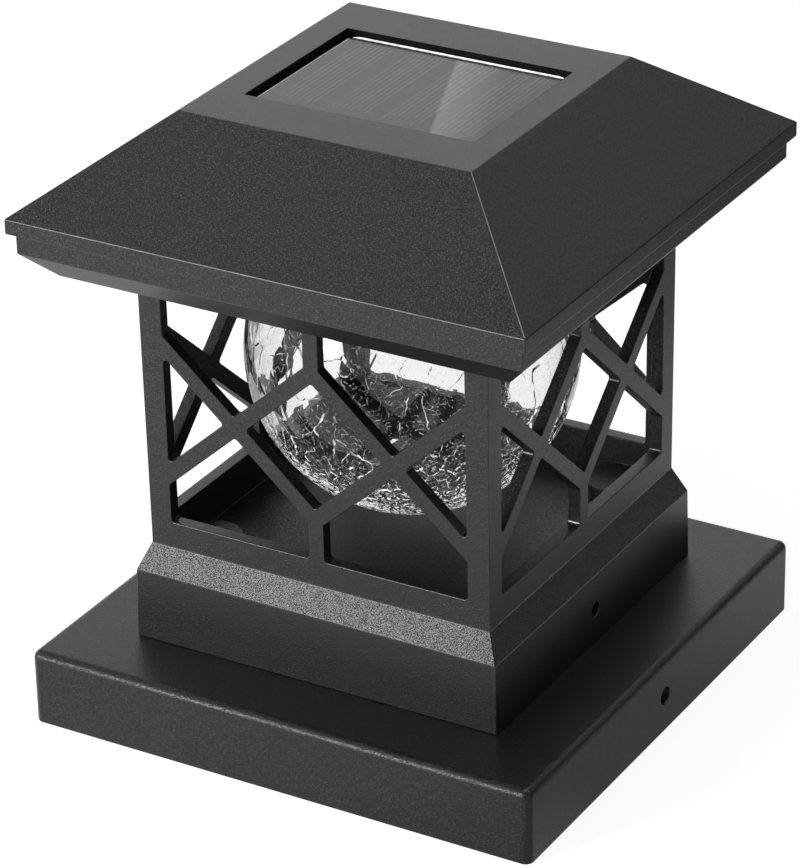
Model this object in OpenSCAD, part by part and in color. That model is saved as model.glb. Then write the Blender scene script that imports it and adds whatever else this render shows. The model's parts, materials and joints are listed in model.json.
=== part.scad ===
// Lantern-style light for the top of a square deck post.
// Millimetres, +Z up, origin at the middle of the underside.
// The lantern faces look along -Y and +X; the roof head lifts off along +Z.

/* [Base flange] */
// Outer width of the square flange that caps the post
flange_w = 150; // [140:0.5:175]
// Height of the flange
flange_h = 21.4; // [18:0.1:32]
// Thickness of the flange side walls
flange_wall = 2.6; // [2:0.1:4]
// Thickness of the flange top plate
flange_plate = 2.8; // [2:0.1:4]
// Radius of the flange upright corners and top edge
flange_edge_r = 2.4; // [1:0.1:4]
// Diameter of the screw hole in two flange sides
flange_hole_d = 5; // [3:0.1:6]
// Height of the flange screw holes above the underside
flange_hole_z = 10.5; // [8:0.1:12]
// Thickness of the collar that stands up inside the skirt
collar_wall = 2.5; // [2:0.1:4]
// Depth of the stiffening ribs under the flange plate
flange_rib_deep = 3; // [1.5:0.1:4]
// Thickness of the stiffening ribs
flange_rib_t = 1.8; // [1.2:0.1:3]

/* [Lantern skirt] */
// Outer width of the skirt at its foot
skirt_w = 108.8; // [107:0.1:112]
// Outer width of the skirt under the sloped shoulder
skirt_top_w = 108.2; // [106.5:0.1:108.6]
// Height of the upright part of the skirt
skirt_h = 19.85; // [16:0.05:28]
// Thickness of the skirt wall
skirt_wall = 2.9; // [2:0.1:3.5]
// Height of the sloped shoulder
shoulder_h = 7.7; // [6:0.1:10]
// Diameter of the screw hole in two skirt sides
skirt_hole_d = 3.8; // [2.5:0.1:5]
// Height of the skirt screw holes above the flange
skirt_hole_up = 9.6; // [6:0.1:12]

/* [Lantern cage] */
// Outer width of the cage above the shoulder
cage_w = 101.6; // [98:0.1:104]
// Outer width of the cage at its top edge
cage_top_w = 102.4; // [101:0.1:104]
// Height of the cage above the shoulder
cage_h = 79.7; // [76:0.1:95]
// Thickness of the wall below the windows
sill_wall = 3.7; // [2.5:0.1:4.5]
// Thickness of the wall at the top edge
cage_wall = 3.2; // [2.2:0.1:3.8]
// Height of the band under the windows
sill_h = 7.35; // [5:0.05:9]
// Height of the band over the windows
rim_h = 4.65; // [4:0.05:8]
// Thickness of the lantern floor
floor_t = 2.5; // [2:0.1:3.5]
// Depth of the floor below the window sills
floor_drop = 11.3; // [9:0.1:11.8]
// Radius of the corner bosses on the floor
floor_boss_r = 8.1; // [6:0.1:9]
// Height of the corner bosses above the floor
floor_boss_h = 3.5; // [2.5:0.1:5]

/* [Window lattice] */
// Width of the upright at each corner, seen from the front
corner_post_w = 6.4; // [5:0.1:9]
// Width of the short upright in the middle of each side
stub_w = 4.5; // [3:0.1:6]
// Width of the slanting bars
bar_w = 4.5; // [3:0.1:6]
// Distance from the middle of a side to where two bars cross
cross_x = 23.5; // [20:0.1:25]
// Rise of a bar from that crossing to the middle of the side
cross_rise = 21; // [18:0.1:23]
// Height of the crossings above the window sills
cross_up = 32.65; // [31:0.05:36]
// Radius in the corners of the window openings
window_corner_r = 0.9; // [0.4:0.1:1.5]

/* [Head tray] */
// Depth of the slope from the band in to the flat underside
soffit_step = 7.45; // [5:0.05:9]
// Height of the slope from the underside to the band
chamfer_h = 7.65; // [6:0.05:10]
// Width of the band under the eave
tier_w = 145.1; // [143:0.1:147]
// Height of that band
tier_h = 5.7; // [4:0.1:9]
// Thickness of the tray walls
tray_wall = 2.4; // [2:0.1:3]
// Height of the tray lip inside the eave
lip_h = 2.4; // [1.5:0.1:3]
// Thickness of that lip
lip_t = 1.2; // [0.8:0.1:1.6]
// Depth of the tongue that drops inside the cage
tongue_h = 4.4; // [3:0.1:4.6]
// Thickness of that tongue
tongue_wall = 2; // [1.4:0.1:2.5]

/* [Roof shell] */
// Width of the roof at the eave
eave_w = 148.9; // [148:0.1:152]
// Height of the upright eave band
eave_h = 4.05; // [3:0.05:6]
// Height of the roof slope
roof_h = 23.9; // [20:0.1:32]
// Width of the flat top of the roof
plateau_w = 84.2; // [82:0.1:96]
// Thickness of the roof wall
roof_wall = 2.4; // [2:0.1:3]

/* [Solar panel] */
// Length of the window in the roof, along X
pane_window_l = 66.4; // [62:0.1:70]
// Width of the window in the roof, along Y
pane_window_w = 50.8; // [44:0.1:60]
// Distance of that window from the middle, along X
pane_window_shift = 0.5; // [0:0.1:1]
// Depth of the panel face below the roof top
pane_recess = 1.5; // [1:0.1:2.4]
// Gap between panel and window on the wide side
pane_gap_wide = 1.6; // [0.4:0.1:2]
// Gap between panel and window on the other sides
pane_gap = 0.4; // [0.2:0.1:0.8]
// Corner radius of the panel
pane_corner_r = 3; // [1:0.1:5]
// Thickness of the foam seal under the panel
pane_seal_t = 0.4; // [0.3:0.05:1]
// Thickness of the panel backing board
pane_board_t = 1; // [0.6:0.1:1.6]
// Thickness of the solar cells
cell_strip_t = 0.25; // [0.2:0.05:0.5]
// Thickness of the clear panel cover
pane_cover_t = 0.6; // [0.4:0.1:1]
// Number of cell strips side by side
cell_strips = 4; // [2:1:6]

/* [Globe] */
// Gap between the globe and the wall below the windows
globe_gap = 2.75; // [2:0.05:6]
// Thickness of the glass
glass_t = 2.2; // [1.5:0.1:3]
// Depth of the middle of the globe below the head
globe_hang = 32.75; // [30:0.05:34]
// Outer radius of the glass neck
neck_r = 24; // [20:0.5:26]
// Length of neck above the round part of the globe
neck_h = 4.4; // [3:0.1:6]
// Thickness of the rubber ring on top of the neck
neck_seal_t = 1; // [0.6:0.1:1.5]
// Thickness of the wall of the well round the neck
well_wall = 2.2; // [1.6:0.1:3]

/* [Battery] */
// Diameter of the rechargeable cell
battery_d = 14.2; // [10.5:0.1:14.5]
// Length of the cell with its button
battery_l = 50.5; // [44:0.1:51]
// Thickness of the battery holder
holder_wall = 1.5; // [1.2:0.1:2]
// Length of the contact spring when loaded
spring_l = 3.2; // [2.5:0.1:5]

/* [Control board] */
// Width of the control board
board_w = 20; // [16:0.5:22]
// Length of the control board
board_l = 44; // [34:0.5:50]
// Thickness of both circuit boards
board_t = 1.6; // [1:0.1:2]
// Height of the pillars under the control board
pillar_h = 4; // [2:0.1:6]

/* [Switch] */
// Travel of the slide switch
switch_travel = 4; // [2:0.1:5]
// Length of the switch case
switch_l = 17; // [16:0.1:20]
// Width of the switch case
switch_w = 8; // [7:0.1:9]
// Height of the switch case
switch_h = 5.5; // [4.5:0.1:7]

/* [Fits] */
// Clearance between moulded pieces that fit together
fit_gap = 0.3; // [0.2:0.05:0.5]
// Clearance of a screw in the hole that it bites
thread_gap = 0.05; // [0.02:0.01:0.1]
// Clearance of a screw in the hole that it passes
pass_gap = 0.3; // [0.2:0.05:0.5]

/* [Hidden] */

$fn = 64;
// Overrun of a cut past the face that it opens
over = 1;
arc_steps = 4;
hull_fn = 32;

// Heights of the main levels, from the underside up
skirt_top_z = flange_h + skirt_h;
cage_low_z = skirt_top_z + shoulder_h;
soffit_z = cage_low_z + cage_h;
sill_z = cage_low_z + sill_h;
window_top_z = soffit_z - rim_h;
floor_z = sill_z - floor_drop;
floor_low_z = floor_z - floor_t;
cross_z = sill_z + cross_up;
tier_low_z = soffit_z + chamfer_h;
eave_low_z = tier_low_z + tier_h;
eave_top_z = eave_low_z + eave_h;
plateau_z = eave_top_z + roof_h;
tray_floor_z = soffit_z + tray_wall;

// Half widths that several pieces share
skirt_in = skirt_w / 2 - skirt_wall;
collar_out = skirt_in - fit_gap;
collar_in = collar_out - collar_wall;
cage_in_low = cage_w / 2 - sill_wall;
cage_in_top = cage_top_w / 2 - cage_wall;
tongue_out = cage_in_top - fit_gap;
tier_in = tier_w / 2 - tray_wall;
soffit_w = tier_w - 2 * soffit_step;
chamfer_lean = soffit_step / chamfer_h;
tray_floor_half = soffit_w / 2 + tray_wall * (chamfer_lean - sqrt(1 + chamfer_lean * chamfer_lean));
lip_out = tier_in + lip_t;
eave_in = lip_out + fit_gap;

// Screws: head radius, head height, shank radius, length under the head
big_screw = [3.1, 2.2, 1.5, 8.6];
mid_screw = [2.9, 1.3, 1.4, 12];
small_screw = [2.5, 1.6, 1.25, 7];
tiny_screw = [1.8, 1.2, 0.9, 4.2];
slot_share = 0.6;
slot_width_share = 0.28;

// Flange: collar ears that the screws from below pass through
ear_t = 4;
ear_r = 7;
floor_boss_at = cage_in_low - floor_boss_r + fit_gap;
flange_ribs = 4;
flange_rib_pitch_share = 0.227;
flange_rib_pitch = flange_w * flange_rib_pitch_share;

// Globe and the well in the tray that takes its neck
globe_r = cage_in_low - globe_gap;
globe_z = soffit_z - globe_hang;
neck_low_z = globe_z + sqrt(globe_r * globe_r - neck_r * neck_r);
neck_top_z = neck_low_z + neck_h;
well_top_z = neck_top_z + neck_seal_t;
globe_r_at_soffit = sqrt(globe_r * globe_r - globe_hang * globe_hang);
well_clear = 2.1;
well_r = globe_r_at_soffit + well_clear;
well_out_r = well_r + well_wall;
well_ceiling = 2;
ceiling_z = well_top_z + well_ceiling;
collar_foot = 2.5;
collar_low_z = soffit_z + collar_foot;
collar_screw_r = (neck_r + well_r) / 2;
collar_screws_n = 3;
lead_hole_r = 4;

// Light unit under the ceiling of the well
led_board_r = 16;
led_ring_r = 6;
led_count = 4;
led_r = 2.3;
led_h = 2.5;
reflector_t = 0.8;
reflector_hole_r = 11;
reflector_deep = 5.6;
reflector_mouth_gap = 1;
led_screw_r = 13.4;
led_board_z = well_top_z - board_t;

// Roof pillars and the screws that hold them to the tray
pillar_r = 3.6;
pillar_at = soffit_w / 2 - pillar_r - tray_wall - over;
pillar_bore = 14;
sink_h = 1.2;
roof_rise = roof_h / ((eave_w - plateau_w) / 2);
roof_drop = roof_wall * sqrt(1 + roof_rise * roof_rise);

// Solar panel stack, from the ledge up
ledge_wall = 2.5;
ledge_t = 1.8;
ledge_lap = 3;
pane_l = pane_window_l - pane_gap_wide - pane_gap;
pane_w = pane_window_w - 2 * pane_gap;
pane_x = pane_window_shift + (pane_gap_wide - pane_gap) / 2;
pane_top_z = plateau_z - pane_recess;
pane_cover_z = pane_top_z - pane_cover_t;
pane_cell_z = pane_cover_z - cell_strip_t;
pane_board_z = pane_cell_z - pane_board_t;
ledge_z = pane_board_z - pane_seal_t;
cell_margin = 1.6;
cell_split = 0.6;
cell_pitch = (pane_l - 2 * cell_margin) / cell_strips;

// Battery holder along X at the back, in the middle of the floor between the well and the tray wall
cell_play = 0.3;
holder_h_share = 0.8;
contact_t = 0.4;
button_r = 2.75;
button_h = 1.3;
holder_in_w = battery_d + 2 * cell_play;
holder_in_l = battery_l + spring_l + 2 * contact_t;
holder_h = battery_d * holder_h_share;
holder_y = (well_out_r + tray_floor_half) / 2;
battery_z = tray_floor_z + holder_wall + cell_play + battery_d / 2;
battery_x = spring_l / 2;
fence_h = 1.2;
fence_t = 1;
spring_wire_r = 0.35;
spring_big_r = 4.6;
spring_small_r = 2.6;
spring_turns = 4;
spring_rings = 10;
spring_sides = 6;

// Control board along Y on the right, in the middle of the room between the well and the tray wall
board_x = (well_out_r + tray_floor_half + pillar_h * chamfer_lean) / 2;
board_z = tray_floor_z + pillar_h;
board_pillar_r = 2.6;
board_inset = 3.4;
chip_l = 5;
chip_w = 6;
chip_h = 1.6;
coil_r = 3.4;
coil_h = 5;
coil_neck_r = 2.4;
coil_flange = 1;

// Slide switch near one corner of the tray floor
switch_at_share = 0.8;
switch_at = (well_out_r + switch_l / 2) * switch_at_share;
knob_l = 4;
knob_w = 3;
knob_drop = 1.7;
knob_ridge = 0.3;
foot_l = 8;
foot_w = 5;
foot_h = 2;
switch_clear = 0.25;

// Leads: radius and number of sides
lead_r = 0.7;
lead_sides = 8;
lead_steps = 4;
lead_gap = 2.6;
lead_stub = 3;

function up_line(x) = cross_z - cross_rise + cross_rise / cross_x * x;
function down_line(x) = cross_z + cross_rise - cross_rise / cross_x * x;

// Half of a slanting bar, measured upright and across
bar_up = bar_w / 2 * sqrt(1 + pow(cross_rise / cross_x, 2));
bar_across = bar_up * cross_x / cross_rise;
post_x = cage_w / 2 - corner_post_w;

function unit(v) = v / norm(v);
function sweep_turn(a, b) = (b - a + 540) % 360 - 180;

// Points of an arc that rounds the corner p between its neighbours a and b
function round_corner(p, a, b, r, n) =
    let (u = unit(a - p), v = unit(b - p), half = acos(u * v) / 2)
    let (c = p + unit(u + v) * r / sin(half))
    let (s = p + u * r / tan(half) - c, e = p + v * r / tan(half) - c)
    let (from = atan2(s[1], s[0]), turn = sweep_turn(from, atan2(e[1], e[0])))
    [for (i = [0 : n]) c + r * [cos(from + turn * i / n), sin(from + turn * i / n)]];

function rounded(points, r) =
    [for (i = [0 : len(points) - 1]) each round_corner(points[i],
        points[(i + len(points) - 1) % len(points)], points[(i + 1) % len(points)], r, arc_steps)];

// Solid with four equal sides: its outline is a list of half widths and heights
module four_sided(points) {
    outline = concat(points, [for (i = [len(points) - 1 : -1 : 0]) [-points[i][0], points[i][1]]]);
    reach = 2 * max([for (p = points) p[0]]) + over;
    intersection() {
        rotate([90, 0, 0]) linear_extrude(reach, center = true) polygon(outline);
        rotate([90, 0, 90]) linear_extrude(reach, center = true) polygon(outline);
    }
}

module block(x, y, low_z, high_z) {
    translate([0, 0, (low_z + high_z) / 2]) cube([x, y, high_z - low_z], center = true);
}

// Copies at the four corners, each mirrored so that its +X and +Y sides face outwards
module at_corners(d) {
    for (x = [0, 1], y = [0, 1]) mirror([x, 0, 0]) mirror([0, y, 0]) translate([d, d, 0]) children();
}

module around(n, r) {
    for (i = [0 : n - 1]) rotate([0, 0, 360 / n * i]) translate([r, 0, 0]) children();
}

// Screw with its head above z = 0 and its shank below, with a cross slot
module screw(s) {
    difference() {
        union() {
            cylinder(h = s[1], r = s[0]);
            translate([0, 0, -s[3]]) cylinder(h = s[3] + s[1] / 2, r = s[2]);
        }
        translate([0, 0, s[1]]) {
            cube([s[0] * 2 * slot_share, s[0] * slot_width_share, s[1]], center = true);
            cube([s[0] * slot_width_share, s[0] * 2 * slot_share, s[1]], center = true);
        }
    }
}

module screw_from_below(s) {
    mirror([0, 0, 1]) screw(s);
}

module plate(l, w, r, t) {
    corners = [[-l / 2, -w / 2], [l / 2, -w / 2], [l / 2, w / 2], [-l / 2, w / 2]];
    linear_extrude(t) polygon(rounded(corners, r));
}

// Smooth path through points chosen by hand
function blend(a, b, c, d, t) =
    0.5 * (2 * b + (c - a) * t + (2 * a - 5 * b + 4 * c - d) * t * t + (3 * b - a - 3 * c + d) * t * t * t);
function smooth(p) =
    [for (i = [0 : len(p) - 2], k = [0 : lead_steps - 1])
        blend(p[max(i - 1, 0)], p[i], p[i + 1], p[min(i + 2, len(p) - 1)], k / lead_steps), p[len(p) - 1]];

// Round tube along a path; side is a direction that the path never follows
module tube(path, r, sides, side) {
    last = len(path) - 1;
    along = [for (i = [0 : last]) unit(path[min(i + 1, last)] - path[max(i - 1, 0)])];
    u = [for (i = [0 : last]) unit(cross(along[i], side))];
    v = [for (i = [0 : last]) cross(along[i], u[i])];
    points = [for (i = [0 : last], k = [0 : sides - 1])
        path[i] + r * (u[i] * cos(360 / sides * k) + v[i] * sin(360 / sides * k))];
    ends = [[for (k = [0 : sides - 1]) k], [for (k = [sides - 1 : -1 : 0]) last * sides + k]];
    skin = [for (i = [0 : last - 1], k = [0 : sides - 1])
        let (a = i * sides + k, b = i * sides + (k + 1) % sides)
        each [[a, a + sides, b], [b, a + sides, b + sides]]];
    polyhedron(points, concat(ends, skin));
}

// Square cap over the post, with a collar that the skirt slides over
module base_flange() color([0.17, 0.17, 0.18]) {
    hole_reach = flange_w + over;
    wall_in = flange_w - 2 * flange_wall;
    difference() {
        union() {
            difference() {
                hull() at_corners(flange_w / 2 - flange_edge_r) corner_round();
                block(wall_in, wall_in, -over, flange_h - flange_plate);
            }
            for (turn = [0 : 90 : 270], i = [0 : flange_ribs - 1]) rotate([0, 0, turn])
                translate([collar_out, (i - (flange_ribs - 1) / 2) * flange_rib_pitch - flange_rib_t / 2,
                    flange_h - flange_plate - flange_rib_deep])
                    cube([flange_w / 2 - flange_wall / 2 - collar_out, flange_rib_t,
                        flange_rib_deep + flange_plate / 2]);
            block(2 * collar_out, 2 * collar_out, flange_h - flange_plate - flange_rib_deep, floor_low_z);
        }
        difference() {
            block(2 * collar_in, 2 * collar_in, -over, floor_low_z + over);
            intersection() {
                block(2 * collar_out, 2 * collar_out, floor_low_z - ear_t, floor_low_z);
                at_corners(floor_boss_at) ear();
            }
        }
        at_corners(floor_boss_at) translate([0, 0, floor_low_z - ear_t - over])
            cylinder(h = ear_t + 2 * over, r = big_screw[2] + pass_gap);
        translate([0, 0, flange_hole_z]) rotate([0, 90, 0])
            cylinder(h = hole_reach, d = flange_hole_d, center = true);
        translate([0, 0, flange_h + skirt_hole_up]) rotate([0, 90, 0])
            cylinder(h = hole_reach, d = skirt_hole_d, center = true);
    }
}

// One rounded corner of the flange
module corner_round() {
    rotate_extrude($fn = hull_fn) polygon(concat([[0, 0], [flange_edge_r, 0]],
        [for (i = [0 : arc_steps * 2]) let (a = 90 * i / (arc_steps * 2))
            [flange_edge_r * cos(a), flange_h - flange_edge_r + flange_edge_r * sin(a)]]));
}

// Ear in a corner of the collar, round towards the middle
module ear() {
    reach = collar_out - floor_boss_at;
    translate([0, 0, floor_low_z - ear_t]) {
        cylinder(h = ear_t, r = ear_r);
        translate([0, -ear_r, 0]) cube([reach, ear_r + reach, ear_t]);
        translate([-ear_r, 0, 0]) cube([ear_r + reach, reach, ear_t]);
    }
}

// Cage, shoulder, skirt and floor, moulded in one piece
module lantern_body() color([0.19, 0.19, 0.2]) {
    difference() {
        four_sided([[skirt_w / 2, flange_h], [skirt_top_w / 2, skirt_top_z], [cage_w / 2, cage_low_z],
            [cage_top_w / 2, soffit_z]]);
        block(2 * skirt_in, 2 * skirt_in, flange_h - over, floor_low_z);
        difference() {
            four_sided([[cage_in_low, floor_z], [cage_in_low, sill_z], [cage_in_top, soffit_z + over]]);
            at_corners(floor_boss_at) translate([0, 0, floor_low_z])
                cylinder(h = floor_t + floor_boss_h, r = floor_boss_r);
        }
        for (turn = [0 : 90 : 270]) rotate([0, 0, turn]) window_cuts();
        at_corners(floor_boss_at) translate([0, 0, floor_low_z - over])
            cylinder(h = over + big_screw[3] - ear_t, r = big_screw[2] + thread_gap);
        translate([0, 0, flange_h + skirt_hole_up]) rotate([0, 90, 0])
            cylinder(h = skirt_w + over, d = skirt_hole_d, center = true);
    }
}

// The seven openings of one side, cut through its wall
module window_cuts() {
    deep = sill_wall + cage_top_w / 2 - cage_w / 2 + 2 * over;
    translate([0, over - cage_top_w / 2 + deep - 2 * over, 0]) rotate([90, 0, 0]) {
        opening(deep, [[0, cross_z + cross_rise - bar_up], [bar_across - cross_x, cross_z],
            [0, cross_z - cross_rise + bar_up], [cross_x - bar_across, cross_z]]);
        for (flip = [0, 1]) mirror([flip, 0, 0]) {
            opening(deep, [[stub_w / 2, window_top_z], [stub_w / 2, down_line(stub_w / 2) + bar_up],
                [cross_x, cross_z + bar_up], [post_x, up_line(post_x) + bar_up], [post_x, window_top_z]]);
            opening(deep, [[stub_w / 2, sill_z], [post_x, sill_z], [post_x, down_line(post_x) - bar_up],
                [cross_x, cross_z - bar_up], [stub_w / 2, up_line(stub_w / 2) - bar_up]]);
            opening(deep, [[post_x, up_line(post_x) - bar_up], [cross_x + bar_across, cross_z],
                [post_x, down_line(post_x) + bar_up]]);
        }
    }
}

module opening(deep, points) {
    linear_extrude(deep) polygon(rounded(points, window_corner_r));
}

module flange_screws() color([0.72, 0.72, 0.74]) {
    at_corners(floor_boss_at) translate([0, 0, floor_low_z - ear_t]) screw_from_below(big_screw);
}

// Outside of the roof, carried down to the height low_z
module roof_outside(low_z) {
    four_sided([[eave_w / 2, low_z], [eave_w / 2, eave_top_z], [plateau_w / 2, plateau_z]]);
}

module roof_shell() color([0.24, 0.24, 0.25]) {
    side_z = eave_top_z + (eave_w / 2 - eave_in) * roof_rise - roof_drop;
    top_half = eave_w / 2 - (roof_h - roof_wall + roof_drop) / roof_rise;
    difference() {
        union() {
            difference() {
                roof_outside(eave_low_z);
                four_sided([[eave_in, eave_low_z - over], [eave_in, side_z],
                    [top_half, plateau_z - roof_wall]]);
            }
            intersection() {
                roof_outside(tray_floor_z);
                union() {
                    at_corners(pillar_at) translate([0, 0, tray_floor_z])
                        cylinder(h = plateau_z - tray_floor_z, r = pillar_r);
                    translate([pane_window_shift, 0, 0]) block(pane_window_l + 2 * ledge_wall,
                        pane_window_w + 2 * ledge_wall, ledge_z - ledge_t, plateau_z - roof_wall / 2);
                }
            }
        }
        translate([pane_window_shift, 0, 0]) {
            block(pane_window_l, pane_window_w, ledge_z, plateau_z + over);
            block(pane_window_l - 2 * ledge_lap - pane_gap_wide, pane_window_w - 2 * ledge_lap,
                ledge_z - ledge_t - over, ledge_z + over);
        }
        at_corners(pillar_at) translate([0, 0, tray_floor_z - over])
            cylinder(h = pillar_bore + over, r = mid_screw[2] + thread_gap);
    }
}

// Closed underside of the head, with the tongue, the well and the mountings inside
module head_tray() color([0.2, 0.2, 0.21]) {
    bend_z = tray_floor_z + (tier_in - tray_floor_half) / chamfer_lean;
    difference() {
        union() {
            difference() {
                four_sided([[soffit_w / 2, soffit_z], [tier_w / 2, tier_low_z], [tier_w / 2, eave_low_z],
                    [lip_out, eave_low_z], [lip_out, eave_low_z + lip_h]]);
                four_sided([[tray_floor_half, tray_floor_z], [tier_in, bend_z],
                    [tier_in, eave_low_z + lip_h + over]]);
            }
            difference() {
                block(2 * tongue_out, 2 * tongue_out, soffit_z - tongue_h, soffit_z + tray_wall / 2);
                block(2 * (tongue_out - tongue_wall), 2 * (tongue_out - tongue_wall),
                    soffit_z - tongue_h - over, soffit_z + tray_wall);
            }
            translate([0, 0, soffit_z]) cylinder(h = ceiling_z - soffit_z, r = well_out_r);
            board_pillars() cylinder(h = pillar_h + tray_wall / 2, r = board_pillar_r);
            holder_fence();
        }
        translate([0, 0, soffit_z - over]) cylinder(h = well_top_z - soffit_z + over, r = well_r);
        translate([0, 0, soffit_z]) cylinder(h = ceiling_z - soffit_z + over, r = lead_hole_r);
        translate([0, 0, well_top_z - over]) {
            around(collar_screws_n, collar_screw_r)
                cylinder(h = well_ceiling + 2 * over, r = small_screw[2] + pass_gap);
            around(2, led_screw_r) cylinder(h = well_ceiling + 2 * over, r = tiny_screw[2] + thread_gap);
        }
        at_corners(pillar_at) translate([0, 0, soffit_z - over]) {
            cylinder(h = tray_wall + 2 * over, r = mid_screw[2] + pass_gap);
            cylinder(h = sink_h + over, r = mid_screw[0] + pass_gap);
        }
        board_pillars() cylinder(h = pillar_h + over + tray_wall, r = tiny_screw[2] + thread_gap);
        switch_place() translate([switch_travel / 2, 0, 0]) block(knob_l + switch_travel + 2 * switch_clear,
            knob_w + 2 * switch_clear, soffit_z - over, tray_floor_z + over);
    }
}

module board_pillars() {
    for (s = [-1, 1]) translate([board_x + s * (board_w / 2 - board_inset),
        s * (board_l / 2 - board_inset), tray_floor_z - tray_wall / 2]) children();
}

// Low rib that keeps the battery holder in its place
module holder_fence() {
    l = holder_in_l + 2 * holder_wall + 2 * fit_gap;
    w = holder_in_w + 2 * holder_wall + 2 * fit_gap;
    translate([0, holder_y, 0]) difference() {
        block(l + 2 * fence_t, w + 2 * fence_t, tray_floor_z - tray_wall / 2, tray_floor_z + fence_h);
        block(l, w, tray_floor_z - tray_wall, tray_floor_z + fence_h + over);
    }
}

module tray_screws() color([0.72, 0.72, 0.74]) {
    at_corners(pillar_at) translate([0, 0, soffit_z + sink_h]) screw_from_below(mid_screw);
}

module panel_seal() color([0.12, 0.12, 0.12]) {
    inner_l = pane_window_l - 2 * ledge_lap - pane_gap_wide;
    difference() {
        translate([pane_x, 0, ledge_z]) plate(pane_l, pane_w, pane_corner_r, pane_seal_t);
        translate([pane_window_shift, 0, 0]) block(inner_l, pane_window_w - 2 * ledge_lap, ledge_z - over,
            ledge_z + pane_seal_t + over);
    }
}

module panel_board() color([0.1, 0.22, 0.15]) {
    translate([pane_x, 0, pane_board_z]) plate(pane_l, pane_w, pane_corner_r, pane_board_t);
}

module panel_cells() color([0.16, 0.17, 0.22]) {
    for (i = [0 : cell_strips - 1])
        translate([pane_x + (i - (cell_strips - 1) / 2) * cell_pitch, 0, 0])
            block(cell_pitch - cell_split, pane_w - 2 * cell_margin, pane_cell_z, pane_cover_z);
}

module panel_cover() color([0.75, 0.78, 0.8, 0.4]) {
    translate([pane_x, 0, pane_cover_z]) plate(pane_l, pane_w, pane_corner_r, pane_cover_t);
}

module crackle_globe() color([0.8, 0.82, 0.84, 0.4]) {
    in_r = neck_r - glass_t;
    difference() {
        union() {
            translate([0, 0, globe_z]) sphere(globe_r, $fn = 96);
            translate([0, 0, globe_z]) cylinder(h = neck_top_z - globe_z, r = neck_r);
        }
        translate([0, 0, globe_z]) sphere(globe_r - glass_t, $fn = 96);
        translate([0, 0, globe_z]) cylinder(h = globe_r + over, r = in_r);
    }
}

module neck_seal() color([0.5, 0.5, 0.5]) {
    translate([0, 0, neck_top_z]) difference() {
        cylinder(h = neck_seal_t, r = neck_r);
        translate([0, 0, -over]) cylinder(h = neck_seal_t + 2 * over, r = neck_r - glass_t);
    }
}

// Moulded ring that the glass neck is cemented into
module globe_collar() color([0.2, 0.2, 0.21]) {
    out_r = well_r - fit_gap;
    in_r = neck_r + fit_gap;
    foot_r = sqrt(globe_r * globe_r - pow(collar_low_z - globe_z, 2)) + fit_gap;
    difference() {
        rotate_extrude() polygon([[in_r, well_top_z], [out_r, well_top_z], [out_r, collar_low_z],
            [foot_r, collar_low_z], [in_r, neck_low_z + fit_gap]]);
        around(collar_screws_n, collar_screw_r) translate([0, 0, ceiling_z - small_screw[3] - fit_gap])
            cylinder(h = small_screw[3], r = small_screw[2] + thread_gap);
    }
}

module collar_screws() color([0.72, 0.72, 0.74]) {
    around(collar_screws_n, collar_screw_r) translate([0, 0, ceiling_z]) screw(small_screw);
}

module led_board() color([0.85, 0.86, 0.84]) {
    difference() {
        translate([0, 0, led_board_z]) cylinder(h = board_t, r = led_board_r);
        around(2, led_screw_r) translate([0, 0, led_board_z - over])
            cylinder(h = board_t + 2 * over, r = tiny_screw[2] + pass_gap);
    }
}

module led_lamps() color([0.95, 0.9, 0.6]) {
    rotate([0, 0, 180 / led_count]) around(led_count, led_ring_r) translate([0, 0, led_board_z - led_h]) {
        cylinder(h = led_h, r = led_r);
        sphere(led_r);
    }
}

module led_reflector() color([0.9, 0.9, 0.9]) {
    mouth_r = neck_r - glass_t - reflector_mouth_gap;
    low_z = led_board_z - reflector_deep;
    difference() {
        rotate_extrude() polygon([[reflector_hole_r, led_board_z], [led_board_r + reflector_t, led_board_z],
            [mouth_r, low_z], [mouth_r - reflector_t, low_z], [led_board_r, led_board_z - reflector_t],
            [reflector_hole_r, led_board_z - reflector_t]]);
        around(2, led_screw_r) translate([0, 0, led_board_z - reflector_t - over])
            cylinder(h = reflector_t + 2 * over, r = tiny_screw[2] + pass_gap);
    }
}

module led_screws() color([0.72, 0.72, 0.74]) {
    around(2, led_screw_r) translate([0, 0, led_board_z - reflector_t]) screw_from_below(tiny_screw);
}

module battery_holder() color([0.15, 0.15, 0.15]) {
    translate([0, holder_y, 0]) difference() {
        block(holder_in_l + 2 * holder_wall, holder_in_w + 2 * holder_wall, tray_floor_z,
            tray_floor_z + holder_h);
        block(holder_in_l, holder_in_w, tray_floor_z + holder_wall, tray_floor_z + holder_h + over);
    }
}

module battery_cell() color([0.2, 0.5, 0.3]) {
    can_l = battery_l - button_h;
    translate([battery_x - battery_l / 2, holder_y, battery_z]) rotate([0, 90, 0]) {
        cylinder(h = can_l, d = battery_d);
        cylinder(h = battery_l, r = button_r);
    }
}

// Coiled contact that presses on the flat end of the cell, on its own plate
module battery_spring() color([0.8, 0.8, 0.82]) {
    back_x = -holder_in_l / 2;
    run = spring_l - 2 * spring_wire_r;
    steps = spring_turns * spring_rings;
    path = [for (i = [0 : steps]) let (a = 360 / spring_rings * i, s = i / steps)
        let (r = spring_big_r + (spring_small_r - spring_big_r) * s)
        [back_x + contact_t + spring_wire_r + run * s, holder_y + r * cos(a), battery_z + r * sin(a)]];
    tube(path, spring_wire_r, spring_sides, [1, 0, 0]);
    translate([back_x + contact_t / 2, holder_y, battery_z])
        cube([contact_t, battery_d - 2 * cell_play, battery_d * holder_h_share], center = true);
}

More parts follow.
